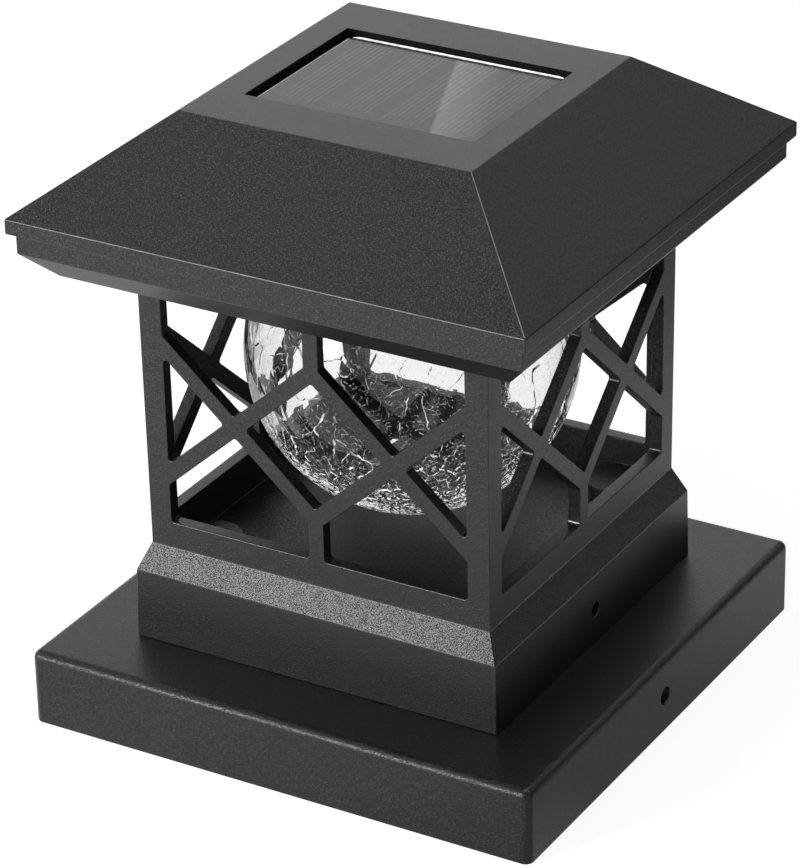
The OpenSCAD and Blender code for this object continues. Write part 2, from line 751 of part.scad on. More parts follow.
module battery_contact() color([0.8, 0.8, 0.82]) {
    translate([holder_in_l / 2 - contact_t / 2, holder_y, battery_z])
        cube([contact_t, battery_d - 2 * cell_play, battery_d * holder_h_share], center = true);
}

module control_board() color([0.12, 0.35, 0.2]) {
    difference() {
        translate([board_x, 0, 0]) block(board_w, board_l, board_z, board_z + board_t);
        board_pillars() cylinder(h = pillar_h + board_t + over + tray_wall, r = tiny_screw[2] + pass_gap);
    }
}

module controller_chip() color([0.08, 0.08, 0.08]) {
    translate([board_x, board_l / 5, 0]) block(chip_l, chip_w, board_z + board_t, board_z + board_t + chip_h);
}

module choke_coil() color([0.35, 0.2, 0.12]) {
    translate([board_x, -board_l / 6, board_z + board_t]) rotate_extrude() polygon([[0, 0], [coil_r, 0],
        [coil_r, coil_flange], [coil_neck_r, coil_flange], [coil_neck_r, coil_h - coil_flange],
        [coil_r, coil_h - coil_flange], [coil_r, coil_h], [0, coil_h]]);
}

module board_screws() color([0.72, 0.72, 0.74]) {
    board_pillars() translate([0, 0, tray_wall / 2 + pillar_h + board_t]) screw(tiny_screw);
}

module switch_place() {
    translate([-switch_at, -switch_at, 0]) children();
}

// Case of the slide switch, open below where the slider runs
module switch_case() color([0.75, 0.75, 0.77]) {
    switch_place() translate([switch_travel / 2, 0, 0]) difference() {
        block(switch_l, switch_w, tray_floor_z, tray_floor_z + switch_h);
        block(foot_l + switch_travel + 2 * switch_clear, foot_w + 2 * switch_clear, tray_floor_z - over,
            tray_floor_z + foot_h + 2 * switch_clear);
    }
}

module switch_slider() color([0.1, 0.1, 0.1]) {
    low_z = soffit_z - knob_drop;
    switch_place() {
        block(foot_l, foot_w, tray_floor_z + switch_clear, tray_floor_z + switch_clear + foot_h);
        block(knob_l, knob_w, low_z, tray_floor_z + foot_h);
        for (i = [-1 : 1]) translate([i * knob_l / 3, 0, 0])
            block(knob_ridge, knob_w, low_z - knob_ridge, low_z + knob_ridge);
    }
}

// Lead from a to b that leaves both ends squarely; the points between are chosen by hand
module lead(a, leave, between, arrive, b, side) {
    tube(concat([a], smooth(concat([a + leave * lead_stub], between, [b + arrive * lead_stub])), [b]),
        lead_r, lead_sides, side);
}

// Leads clipped inside the head
module panel_leads() color([0.6, 0.1, 0.1]) {
    up = [0, 0, 1];
    for (s = [-1, 1]) lead([pane_x + pane_l / 4, s * lead_gap, pane_board_z], -up,
        [[board_x - board_w / 2, s * lead_gap, (pane_board_z + board_z) / 2]],
        up, [board_x, s * lead_gap, board_z + board_t], [0, 1, 0]);
}

module battery_leads() color([0.1, 0.1, 0.1]) {
    end_x = holder_in_l / 2 + holder_wall;
    end_y = board_l / 2 - board_inset - 2 * lead_gap;
    front_y = holder_y - holder_in_w / 2 - holder_wall - 1.4 * lead_gap;
    lift_z = ceiling_z + lead_gap;
    lead([end_x, holder_y, battery_z], [1, 0, 0],
        [[board_x, (holder_y + end_y) / 2, battery_z + lead_gap]],
        [0, 0, 1], [board_x + lead_gap, end_y, board_z + board_t], [1, -1, 0]);
    lead([-end_x, holder_y, battery_z], [-1, 0, 0],
        [[-end_x - lead_stub, front_y, battery_z], [-holder_in_l / 3, front_y, lift_z],
            [holder_in_l / 4, front_y, lift_z]],
        [0, 0, 1], [board_x - lead_gap, end_y, board_z + board_t], [0, 0.4, 1]);
}

module led_leads() color([0.1, 0.1, 0.6]) {
    up = [0, 0, 1];
    end_y = -board_l / 2 + board_inset + 2 * lead_gap;
    for (s = [-1, 1]) lead([0, s * lead_gap / 2, led_board_z + board_t], up,
        [[lead_stub, s * lead_gap / 2, ceiling_z + lead_gap],
            [well_r, end_y / 2 + s * lead_gap / 2, ceiling_z + lead_gap]],
        up, [board_x, end_y + s * lead_gap / 2, board_z + board_t], [0.3, 1, 0]);
}

base_flange();
lantern_body();
flange_screws();
roof_shell();
head_tray();
tray_screws();
panel_seal();
panel_board();
panel_cells();
panel_cover();
crackle_globe();
neck_seal();
globe_collar();
collar_screws();
led_board();
led_lamps();
led_reflector();
led_screws();
battery_holder();
battery_cell();
battery_spring();
battery_contact();
control_board();
controller_chip();
choke_coil();
board_screws();
switch_case();
switch_slider();
panel_leads();
battery_leads();
led_leads();
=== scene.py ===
"""Deck post cap light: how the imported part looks.

A square moulded base, a lattice lantern and a hipped roof with a solar panel stand round a globe of
crackled glass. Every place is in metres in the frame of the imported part, which stands on z = 0 with
its front towards -Y.
"""

import json
import logging
import math
import random
from dataclasses import dataclass
from enum import Enum

import bmesh
import bpy
import numpy as np
from mathutils import Matrix, Vector, noise

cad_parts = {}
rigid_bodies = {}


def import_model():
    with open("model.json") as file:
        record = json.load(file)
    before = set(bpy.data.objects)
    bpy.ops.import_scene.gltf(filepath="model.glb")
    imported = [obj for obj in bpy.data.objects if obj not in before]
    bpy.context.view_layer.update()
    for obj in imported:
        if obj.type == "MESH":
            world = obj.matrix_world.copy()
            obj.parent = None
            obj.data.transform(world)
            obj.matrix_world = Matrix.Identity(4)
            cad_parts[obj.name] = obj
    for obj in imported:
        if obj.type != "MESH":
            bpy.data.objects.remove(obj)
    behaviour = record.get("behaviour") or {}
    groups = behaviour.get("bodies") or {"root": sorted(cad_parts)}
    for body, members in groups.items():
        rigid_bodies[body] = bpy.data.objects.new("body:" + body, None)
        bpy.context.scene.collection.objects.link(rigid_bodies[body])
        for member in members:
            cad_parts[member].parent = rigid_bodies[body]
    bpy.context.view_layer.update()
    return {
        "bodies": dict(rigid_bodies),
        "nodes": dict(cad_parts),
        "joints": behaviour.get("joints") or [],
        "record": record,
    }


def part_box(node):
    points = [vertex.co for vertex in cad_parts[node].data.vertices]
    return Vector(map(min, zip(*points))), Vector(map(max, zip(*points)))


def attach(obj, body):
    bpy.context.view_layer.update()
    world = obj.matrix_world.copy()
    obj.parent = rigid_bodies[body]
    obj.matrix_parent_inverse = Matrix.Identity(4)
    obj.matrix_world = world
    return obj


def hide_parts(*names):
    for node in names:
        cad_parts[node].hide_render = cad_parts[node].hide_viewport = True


LOG = logging.getLogger("cap_light")
MM = 0.001
FULL_TURN = 2 * math.pi
UP = Vector((0, 0, 1))
# Points of a CAD mesh that lie closer together than this are one point.
WELD = 0.002 * MM
# What soft noise mostly lies between.
NOISE = (0.3, 0.7)

Tone = tuple[float, float, float, float]
Way = tuple[float, float, float]
Ramp = tuple[float, float]
Box = tuple[Vector, Vector]
Profile = list[tuple[float, float]]
Socket = bpy.types.NodeSocket
Feed = Socket | Tone | Way | float


class Body(Enum):
    """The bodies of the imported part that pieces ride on."""

    BASE = "lantern_base"
    HEAD = "roof_head"
    KNOB = "switch_knob"


class Slot(Enum):
    """The record's material slots, which each piece is handed over with."""

    FLANGE = "flange_black"
    LANTERN = "lantern_black"
    ROOF = "roof_black"
    TRAY = "tray_black"
    COVER = "panel_clear"
    CELL = "cell_silicon"
    BACKING = "backing_board"
    FOAM = "foam_black"
    GLASS = "crackle_glass"
    SILICONE = "silicone_clear"
    SCREW = "screw_steel"
    LAMP_BOARD = "board_white"
    BOARD = "board_green"
    LAMP = "lamp_clear"
    REFLECTOR = "reflector_white"
    HOLDER = "holder_black"
    SLEEVE = "cell_sleeve"
    CONTACT = "contact_nickel"
    CHIP = "chip_black"
    COIL = "coil_copper"
    SWITCH = "switch_tin"
    SLIDER = "slider_black"
    LEAD_RED = "lead_red"
    LEAD_BLACK = "lead_black"
    LEAD_WHITE = "lead_white"


def rgb(red: float, green: float, blue: float) -> Tone:
    """Returns an opaque colour of those linear values."""
    return (red, green, blue, 1.0)


def grey(value: float, warm: float = 0.0) -> Tone:
    """Returns a grey of that linear value, a little warmer or cooler."""
    return rgb(value * (1 + warm), value, value * (1 - warm))


def lightened(tone: Tone, times: float, plus: float = 0.0) -> Tone:
    """Returns a colour made lighter or darker, held at white."""
    return rgb(*(min(1.0, times * c + plus) for c in tone[:3]))


# ---------------------------------------------------------------- node trees


class Shade:
    """A node tree that is put together one node at a time."""

    def __init__(self, tree: bpy.types.NodeTree) -> None:
        """Starts from an empty tree."""
        self.tree, self._place = tree, None
        self.tree.nodes.clear()

    @property
    def place(self) -> Socket:
        """The point of the surface, in metres in the part's frame.

        Returns:
            The point's socket.
        """
        if self._place is None:
            self._place = self.add("TexCoord").outputs["Object"]
        return self._place

    def add(
        self, kind: str, feeds: dict[str | int, Feed] | None = None, **options: str | float | bool
    ) -> bpy.types.Node:
        """Adds one node.

        Args:
            kind: Blender's name for the node, without its ShaderNode prefix.
            feeds: What goes into its inputs, by name or number: a value or another node's socket.
            options: Settings of the node itself.

        Returns:
            The node.
        """
        node = self.tree.nodes.new("ShaderNode" + kind)
        for option, value in options.items():
            setattr(node, option, value)
        for key, value in (feeds or {}).items():
            if isinstance(value, Socket):
                self.tree.links.new(value, node.inputs[key])
            else:
                node.inputs[key].default_value = value
        return node

    def stretched(self, x: float, y: float, z: float) -> Socket:
        """Returns the place with each axis scaled, so that a pattern on it is drawn out."""
        return self.add("VectorMath", {0: self.place, 1: (x, y, z)}, operation="MULTIPLY").outputs[0]

    def axes(self, vector: Socket | None = None) -> bpy.types.bpy_prop_collection:
        """Returns the outputs X, Y and Z of a vector, or of the place."""
        return self.add("SeparateXYZ", {0: vector or self.place}).outputs

    def noise(
        self,
        size: float,
        detail: float = 2.0,
        rough: float = 0.5,
        at: Socket | None = None,
        warp: float = 0.0,
    ) -> Socket:
        """Returns soft noise from 0 to 1.

        Args:
            size: Rough width of its lumps, in metres.
            detail: How many finer layers it has.
            rough: How strong the finer layers are.
            at: The place that it is read at, or the surface point.
            warp: How much it is twisted.

        Returns:
            The value's socket.
        """
        feeds = {"Vector": at or self.place, "Scale": 1 / size, "Detail": detail}
        feeds |= {"Roughness": rough, "Distortion": warp}
        return self.add("TexNoise", feeds).outputs[0]

    def cells(self, size: float, at: Socket | None = None, output: str = "Distance") -> Socket:
        """Returns a cell pattern.

        Args:
            size: Rough width of a cell, in metres.
            at: The place that it is read at, or the surface point.
            output: Which of the node's outputs to use: the distance to the cell's middle, or its colour.

        Returns:
            That output's socket.
        """
        feeds = {"Vector": at or self.place, "Scale": 1 / size}
        return self.add("TexVoronoi", feeds, feature="F1").outputs[output]

    def path(self, output: str) -> Socket:
        """Returns what Blender's Light Path says about the ray that arrives."""
        return self.add("LightPath").outputs[output]

    def remap(self, value: Feed, low: float, high: float, to_low: float, to_high: Feed) -> Socket:
        """Returns a value moved from one range to another and held inside it."""
        feeds = {"Value": value, "From Min": low, "From Max": high, "To Min": to_low, "To Max": to_high}
        return self.add("MapRange", feeds, clamp=True).outputs["Result"]

    def share(self, value: Feed, low: float, high: float) -> Socket:
        """Returns how far a value has come from low to high, from 0 to 1."""
        return self.remap(value, low, high, 0.0, 1.0)

    def around(self, value: Feed, middle: float, less: float, more: float) -> Socket:
        """Returns soft noise moved to a range that reaches a little under and over a middle value."""
        return self.remap(value, *NOISE, middle - less, middle + more)

    def maths(self, first: Feed, second: Feed, operation: str = "ADD") -> Socket:
        """Returns two values put together, as a sum unless another operation is named."""
        return self.add("Math", {0: first, 1: second}, operation=operation).outputs[0]

    def product(self, first: Feed, second: Feed) -> Socket:
        """Returns one value times another."""
        return self.maths(first, second, "MULTIPLY")

    def towards(self, direction: Socket, way: Way) -> Socket:
        """Returns how far a direction goes one way, as the product of both vectors."""
        return self.add("VectorMath", {0: direction, 1: way}, operation="DOT_PRODUCT").outputs["Value"]

    def blend(self, share: Feed, first: Feed, second: Feed) -> Socket:
        """Returns the colour that lies that share of the way from the first to the second."""
        return self.add("Mix", {0: share, 6: first, 7: second}, data_type="RGBA").outputs[2]

    def bump(self, height: Socket, depth: float, under: Socket | None = None) -> Socket:
        """Returns the normal of a relief.

        Args:
            height: How high the surface stands, from 0 to 1.
            depth: How high 1 is, in metres.
            under: The normal of another relief that this one lies on.

        Returns:
            The normal's socket.
        """
        feeds = {"Height": height, "Distance": depth}
        if under is not None:
            feeds["Normal"] = under
        return self.add("Bump", feeds).outputs[0]

    def either(self, share: Socket, first: Socket, second: Socket) -> Socket:
        """Returns a shader that is the first at 0 and the second at 1."""
        return self.add("MixShader", {0: share, 1: first, 2: second}).outputs[0]

    def glow(self, strength: Feed, kind: str = "Emission") -> Socket:
        """Returns a white glow of that strength, for a surface or, as Background, for the world."""
        return self.add(kind, {"Color": grey(1.0), "Strength": strength}).outputs[0]

    def surface(self, shader: Socket) -> None:
        """Ends a material's tree."""
        self.add("OutputMaterial", {"Surface": shader})

    def coat(self, **feeds: Feed) -> None:
        """Ends the tree with a principled shader; an underscore in a name stands for a blank."""
        named = {key.replace("_", " "): value for key, value in feeds.items()}
        self.surface(self.add("BsdfPrincipled", named).outputs[0])


# ------------------------------------------------------------------ finishes


@dataclass(frozen=True)
class Finish:
    """A finish, whose material is made the first time it is asked for."""

    name: str

    def material(self) -> bpy.types.Material:
        """Makes the material, or finds the one that was made.

        Returns:
            The finish as a material.
        """
        found = bpy.data.materials.get(self.name)
        if found is None:
            found = bpy.data.materials.new(self.name)
            found.use_nodes = True
            self.build(Shade(found.node_tree))
        return found

    def build(self, shade: Shade) -> None:
        """Fills the material's node tree."""
        raise NotImplementedError(self.name)


@dataclass(frozen=True)
class MouldedPlastic(Finish):
    """Weatherproof moulding with a fine eroded grain, whose light specks show where light falls on it."""

    tone: float = 0.0038
    rough: float = 0.34
    bend: float = 1.5
    grain: float = 0.4 * MM
    depth: float = 0.075 * MM
    drift: float = 24 * MM
    drift_rough: float = 0.015
    speck: float = 0.052
    speck_size: float = 0.32 * MM
    speck_range: Ramp = (0.54, 0.72)
    smooth_below: float = -1.0
    smooth_step: float = 0.3 * MM
    smooth_share: float = 0.3

    def build(self, shade: Shade) -> None:
        """Puts grain, specks and slow drift over one another.

        Args:
            shade: The tree.
        """
        grain = shade.noise(self.grain, 2.0, 0.6)
        drift = shade.noise(self.drift, 3.0, 0.6, warp=0.6)
        foot, step = self.smooth_below, self.smooth_step
        strewn = shade.remap(shade.axes()["Z"], foot - step, foot + step, self.smooth_share, 1.0)
        specks = shade.share(shade.noise(self.speck_size, 1.0, 0.5), *self.speck_range)
        specks = shade.product(specks, strewn)
        body = shade.blend(shade.share(drift, *NOISE), grey(self.tone * 0.85), grey(self.tone * 1.2))
        shade.coat(
            Base_Color=shade.blend(specks, body, grey(self.speck)),
            Roughness=shade.around(drift, self.rough, self.drift_rough, self.drift_rough),
            IOR=self.bend,
            Normal=shade.bump(shade.maths(grain, specks), self.depth),
        )


@dataclass(frozen=True)
class WearAndSheenEdge(Finish):
    """The same moulding with smoother, lighter edges: partly rubbing wear, partly a painted highlight along
    the edge lines.
    """

    # Lighter than the body: partly wear, partly painted highlight.
    tone: float = 0.02
    rough: float = 0.24
    wear_and_sheen: float = 3.2 * MM
    grain: float = 0.5 * MM
    depth: float = 0.02 * MM

    def build(self, shade: Shade) -> None:
        """Varies the wear and the painted highlight unevenly along the edge.

        Args:
            shade: The tree.
        """
        wear_and_sheen = shade.noise(self.wear_and_sheen, 3.0, 0.65)
        shade.coat(
            Base_Color=shade.blend(shade.share(wear_and_sheen, 0.4, 0.7), grey(self.tone * 0.75), grey(self.tone * 1.6)),
            Roughness=shade.remap(wear_and_sheen, 0.35, 0.7, self.rough + 0.08, self.rough - 0.05),
            IOR=1.5,
            Normal=shade.bump(shade.noise(self.grain, 2.0, 0.5), self.depth),
        )


@dataclass(frozen=True)
class CrackleGlass(Finish):
    """Clear blown glass, whose panes between the cracks each bend the light a little their own way."""

    tone: float = 0.97
    warm: float = -0.004
    # Tone of the glass as glossy rays see it: painted shade in its reflections.
    mirrored: float = 0.02
    rough: float = 0.002
    haze: float = 0.012
    haze_size: float = 11 * MM
    pane: float = 7 * MM
    bulge: float = 0.16 * MM
    wave: float = 0.12 * MM
    wave_size: float = 12 * MM
    seed: float = 0.02 * MM
    seed_gap: float = 3.1 * MM

    def build(self, shade: Shade) -> None:
        """Gives the glass waves, panes, seeds and a faint haze; its colour is painted dark for glossy rays,
        so the black mouldings mirror painted shade.

        Args:
            shade: The tree.
        """
        haze, clear = shade.noise(self.haze_size, 3.0, 0.6), grey(self.tone, self.warm)
        normal = shade.bump(shade.noise(self.wave_size, 1.0, 0.4, warp=0.3), self.wave)
        normal = shade.bump(shade.cells(self.pane, at=shade.stretched(1.0, 1.0, 0.7)), self.bulge, normal)
        seeds = shade.remap(shade.cells(self.seed_gap), 0.0, 0.1, 1.0, 0.0)
        # Painted shade: glass that is mirrored, not seen through, turns nearly black.
        in_mirror = shade.maths(shade.path("Is Glossy Ray"), shade.path("Is Transmission Ray"), "SUBTRACT")
        shade.coat(
            Base_Color=shade.blend(shade.share(in_mirror, 0.0, 1.0), clear, grey(self.mirrored)),
            Roughness=shade.remap(haze, 0.5, 0.8, self.rough, self.rough + self.haze),
            IOR=1.46,
            Transmission_Weight=1.0,
            Normal=shade.bump(seeds, self.seed, normal),
        )


@dataclass(frozen=True)
class CrackWall(Finish):
    """The split walls inside the glass: bright and broken low down, dull and whole high up, with a painted
    glow on their bright patches.
    """

    tone: float = 0.95
    dull: float = 0.03
    rough: float = 0.16
    dull_rough: float = 0.5
    metal: float = 0.4
    # Strength of the painted glow, though the walls are no lamp.
    glow: float = 0.5
    far: float = 0.35
    far_depth: Ramp = (1.5, 2.5)
    patch: float = 3.2 * MM
    step: float = 1.0 * MM
    fine: float = 0.5 * MM
    depth: float = 0.08 * MM
    turn_low: float = 72 * MM
    turn_high: float = 104 * MM
    turn_inset: float = 8 * MM
    lift_low: float = 0.22
    lift_high: float = -0.03
    bright_range: Ramp = (0.44, 0.6)
    broken_range: Ramp = (0.47, 0.54)

    def build(self, shade: Shade) -> None:
        """Makes the wall come and go along the crack and paints a glow where it is bright; far walls show
        fainter through the glass.

        Args:
            shade: The tree.
        """
        steps = shade.noise(self.step, 1.0, 0.5)
        height = shade.axes()["Z"]
        lift = shade.remap(height, self.turn_low, self.turn_high, self.lift_low, self.lift_high)
        share = shade.share(shade.maths(shade.noise(self.patch, 2.0, 0.6), lift), *self.bright_range)
        whole = shade.share(height, self.turn_low + self.turn_inset, self.turn_high - self.turn_inset)
        cover = shade.maths(shade.share(steps, *self.broken_range), whole, "MAXIMUM")
        nearness = shade.remap(shade.path("Transmission Depth"), *self.far_depth, 1.0, self.far)
        shade.coat(
            Base_Color=shade.blend(share, grey(self.dull), grey(self.tone)),
            Metallic=shade.product(share, self.metal),
            Roughness=shade.remap(share, 0.0, 1.0, self.dull_rough, self.rough),
            Alpha=shade.product(cover, nearness),
            # Painted light: bright patches glow in place of the light that they reflect.
            Emission_Color=grey(1.0),
            Emission_Strength=shade.product(shade.remap(steps, 0.35, 0.6, 0.5 * self.glow, self.glow), share),
            Normal=shade.bump(shade.noise(self.fine, 1.0, 0.5), self.depth),
        )


@dataclass(frozen=True)
class ClearResin(Finish):
    """Clear domed cover of the solar panel, whose mirror is painted weaker along its front and right edges:
    painted shade where the dome falls away.
    """

    rough: float = 0.003
    wiped: float = 0.006
    wipe: float = 2.2 * MM
    tint: float = 0.28
    front: float = -24.8 * MM
    right: float = 33.4 * MM
    # Width of the painted shade band along the front and right edges.
    dome: float = 5 * MM
    painted_mirror_range: Ramp = (0.1, 0.5)
    sag: float = 14 * MM
    depth: float = 0.002 * MM

    def build(self, shade: Shade) -> None:
        """Gives the resin slow sag, hairline wipes and painted shade along its front and right edges.

        Args:
            shade: The tree.
        """
        wipes = shade.noise(self.wipe, 2.0, 0.6, at=shade.stretched(0.16, 1.4, 1.0))
        parts = shade.axes()
        back = shade.remap(parts["Y"], self.front, self.front + self.dome, *self.painted_mirror_range)
        left = shade.remap(parts["X"], self.right - self.dome, self.right, *self.painted_mirror_range[::-1])
        shade.coat(
            Base_Color=grey(self.tint),
            Roughness=shade.remap(wipes, 0.4, 0.7, self.rough, self.rough + self.wiped),
            IOR=1.38,
            # Painted shade: the mirror strength falls along the front and right edges.
            Specular_IOR_Level=shade.maths(back, left, "MINIMUM"),
            Transmission_Weight=1.0,
            Normal=shade.bump(shade.noise(self.sag, 1.0, 0.4), self.depth),
        )


@dataclass(frozen=True)
class PaintedGlowEdge(Finish):
    """Painted highlight on the clear cover's top along its back and left edges: a white glow, though the
    cover is no lamp.
    """

    # Strength of the painted glow.
    glow: float = 1.1
    chip: float = 1.4 * MM

    def build(self, shade: Shade) -> None:
        """Breaks the painted glow up a little along its length.

        Args:
            shade: The tree.
        """
        chips = shade.share(shade.noise(self.chip, 2.0, 0.6), 0.3, 0.6)
        body = shade.blend(chips, grey(0.5), grey(0.92))
        # The emission is painted light: the edge glows though it is no lamp.
        shade.coat(Base_Color=body, Roughness=0.5, Emission_Color=body, Emission_Strength=self.glow)


@dataclass(frozen=True)
class SiliconCell(Finish):
    """Cut silicon with a faint crystal pattern under its coating."""

    tone: Tone = (0.016, 0.017, 0.02, 1.0)
    crystal: float = 3.4 * MM
    saw: float = 0.5 * MM
    depth: float = 0.01 * MM

    def build(self, shade: Shade) -> None:
        """Mixes crystals of two tones and fine saw lines.

        Args:
            shade: The tree.
        """
        saw = shade.noise(self.saw, 1.0, 0.5, at=shade.stretched(1.0, 0.05, 1.0))
        share = shade.add("RGBToBW", {0: shade.cells(self.crystal, output="Color")}).outputs[0]
        body = shade.blend(shade.share(share, 0.2, 0.8), lightened(self.tone, 0.7), self.tone)
        shade.coat(
            Base_Color=shade.blend(shade.remap(saw, *NOISE, 0.0, 0.2), body, grey(0.05)),
            Metallic=0.0,
            Roughness=shade.remap(share, 0.2, 0.8, 0.42, 0.52),
            IOR=1.35,
            Normal=shade.bump(saw, self.depth),
        )


@dataclass(frozen=True)
class Metal(Finish):
    """Plated or drawn metal with fine marks."""

    tone: Tone = (0.6, 0.6, 0.62, 1.0)
    rough: float = 0.3
    stain: Tone = (0.3, 0.28, 0.26, 1.0)
    stain_size: float = 1.8 * MM
    mark: float = 0.22 * MM
    depth: float = 0.008 * MM

    def build(self, shade: Shade) -> None:
        """Lays stains and fine scratches over the metal.

        Args:
            shade: The tree.
        """
        stain = shade.remap(shade.noise(self.stain_size, 3.0, 0.65), 0.5, 0.78, 0.0, 0.7)
        marks = shade.noise(self.mark, 2.0, 0.6, at=shade.stretched(1.0, 1.0, 0.3))
        shade.coat(
            Base_Color=shade.blend(stain, self.tone, self.stain),
            Metallic=1.0,
            Roughness=shade.around(marks, self.rough, 0.08, 0.12),
            Normal=shade.bump(marks, self.depth),
        )


@dataclass(frozen=True)
class SoftFoam(Finish):
    """Closed-cell foam or rubber with open pores on its cut faces."""

    tone: Tone = (0.02, 0.02, 0.02, 1.0)
    pore: float = 0.5 * MM
    depth: float = 0.06 * MM

    def build(self, shade: Shade) -> None:
        """Pits the surface with pores of two sizes.

        Args:
            shade: The tree.
        """
        pores = shade.cells(self.pore)
        fine = shade.noise(self.pore * 0.5, 2.0, 0.6)
        body = shade.blend(shade.share(pores, 0.1, 0.6), self.tone, lightened(self.tone, 2.0))
        height = shade.maths(pores, shade.product(fine, 0.4))
        shade.coat(Base_Color=body, Roughness=0.85, Normal=shade.bump(height, self.depth))


@dataclass(frozen=True)
class SiliconeRubber(Finish):
    """Milky silicone of the ring on the neck."""

    cloud: float = 2 * MM
    depth: float = 0.05 * MM

    def build(self, shade: Shade) -> None:
        """Clouds the silicone.

        Args:
            shade: The tree.
        """
        cloud = shade.noise(self.cloud, 2.0, 0.6)
        shade.coat(
            Base_Color=shade.blend(shade.share(cloud, *NOISE), grey(0.55), grey(0.75)),
            Roughness=0.4,
            Subsurface_Weight=0.4,
            Normal=shade.bump(cloud, self.depth),
        )


@dataclass(frozen=True)
class BoardLaminate(Finish):
    """Printed circuit laminate with tracks under its lacquer."""

    tone: Tone = (0.012, 0.11, 0.045, 1.0)
    track: Tone = (0.03, 0.2, 0.08, 1.0)
    rough: float = 0.3
    track_size: float = 9 * MM
    weave: float = 0.3 * MM
    drift: float = 9 * MM
    depth: float = 0.03 * MM

    def build(self, shade: Shade) -> None:
        """Draws right-angled tracks and the glass weave.

        Args:
            shade: The tree.
        """
        feeds = {"Vector": shade.place, "Scale": 1 / self.track_size, "Mortar Size": 0.05}
        feeds |= {"Brick Width": 0.55, "Row Height": 0.3}
        tracks = shade.add("TexBrick", feeds, offset=0.37).outputs["Fac"]
        weave = shade.noise(self.weave, 1.0, 0.4, at=shade.stretched(1.0, 0.3, 1.0))
        dust = shade.remap(shade.noise(self.drift, 2.0, 0.5), 0.3, 0.8, 0.0, 0.3)
        body = shade.blend(shade.share(tracks, 0.2, 0.8), self.tone, self.track)
        height = shade.maths(tracks, shade.product(weave, 0.3))
        shade.coat(
            Base_Color=shade.blend(dust, body, grey(0.02)),
            Roughness=shade.around(weave, self.rough, 0.06, 0.08),
            Normal=shade.bump(height, self.depth),
        )


@dataclass(frozen=True)
class SmoothPlastic(Finish):
    """Inner moulding, sleeve or insulation with a soft gloss and faint marks."""

    tone: Tone = (0.02, 0.02, 0.02, 1.0)
    rough: float = 0.35
    clear: float = 0.0
    flow: float = 4 * MM
    mark: float = 0.4 * MM
    depth: float = 0.012 * MM

    def build(self, shade: Shade) -> None:
        """Adds flow marks and handling marks.

        Args:
            shade: The tree.
        """
        flow = shade.noise(self.flow, 3.0, 0.55, at=shade.stretched(0.4, 1.0, 1.0))
        marks = shade.noise(self.mark, 2.0, 0.6)
        shade.coat(
            Base_Color=shade.blend(shade.share(flow, *NOISE), self.tone, lightened(self.tone, 1.3, 0.004)),
            Roughness=shade.around(marks, self.rough, 0.05, 0.08),
            Transmission_Weight=self.clear,
            Normal=shade.bump(marks, self.depth),
        )


class Finishes:
    """Every finish that the part wears."""

    flange = MouldedPlastic("moulded_black_flange", rough=0.33, bend=1.46, speck=0.02)
    # Edge finishes: lighter edges, partly wear and partly painted highlight.
    flange_edge = WearAndSheenEdge("moulded_black_flange_edge")
    lantern = MouldedPlastic("moulded_black_lantern", smooth_below=41.2 * MM)
    lantern_edge = WearAndSheenEdge("moulded_black_lantern_edge")
    roof = MouldedPlastic("moulded_black_roof", tone=0.004)
    roof_edge = WearAndSheenEdge("moulded_black_roof_edge", rough=0.3)
    tray = MouldedPlastic("moulded_black_tray")
    tray_edge = WearAndSheenEdge("moulded_black_tray_edge")
    # Painted shade: near-black, dull walls in the panel's recess.
    recess = MouldedPlastic("moulded_black_painted_recess_shade", tone=0.001, speck=0.002, rough=0.7, bend=1.2)
    glass = CrackleGlass("glass_clear")
    crack = CrackWall("glass_crack_wall")
    cover = ClearResin("resin_clear_cover")
    silicon = SiliconCell("silicon_cut_cell")
    paste = SmoothPlastic("silver_paste_finger", rgb(1.0, 1.0, 1.0), 0.5)
    # Painted highlight: a glowing strip on top of the cover's back and left edges.
    cut = PaintedGlowEdge("resin_painted_glow_edge")
    backing = BoardLaminate("laminate_backing", rgb(0.02, 0.024, 0.026), rgb(0.03, 0.034, 0.036))
    foam = SoftFoam("foam_black_seal")
    silicone = SiliconeRubber("silicone_ring")
    steel = Metal("steel_zinc_plated")
    nickel = Metal("steel_nickel_plated", rgb(0.66, 0.64, 0.6), 0.24)
    tin = Metal("steel_tinned", rgb(0.55, 0.56, 0.57), 0.36)
    solder = Metal("solder_grey", grey(0.5), 0.28)
    copper = Metal("copper_enamelled", rgb(0.55, 0.22, 0.09), 0.25, rgb(0.3, 0.1, 0.04))
    white_board = BoardLaminate("laminate_white", rgb(0.72, 0.73, 0.72), rgb(0.8, 0.8, 0.78))
    green_board = BoardLaminate("laminate_green")
    lamp = SmoothPlastic("resin_lamp", rgb(0.95, 0.93, 0.85), 0.08, clear=0.9)
    phosphor = SmoothPlastic("phosphor_yellow", rgb(0.8, 0.62, 0.12), 0.6)
    reflector = SmoothPlastic("moulded_white_reflector", rgb(0.78, 0.78, 0.76), 0.3)
    holder = SmoothPlastic("moulded_black_holder", rough=0.4)
    sleeve = SmoothPlastic("sleeve_shrunk_green", rgb(0.03, 0.2, 0.07), 0.22)
    chip = SmoothPlastic("epoxy_black_chip", rgb(0.012, 0.012, 0.013), 0.5)
    bobbin = SmoothPlastic("ferrite_dark", rgb(0.03, 0.028, 0.027), 0.55)
    slider = SmoothPlastic("moulded_black_slider", grey(0.014), 0.38)
    red = SmoothPlastic("insulation_red", rgb(0.5, 0.015, 0.012), 0.32)
    black = SmoothPlastic("insulation_black", grey(0.012), 0.32)
    white = SmoothPlastic("insulation_white", rgb(0.7, 0.7, 0.68), 0.34)


# ------------------------------------------------------------ mesh in making


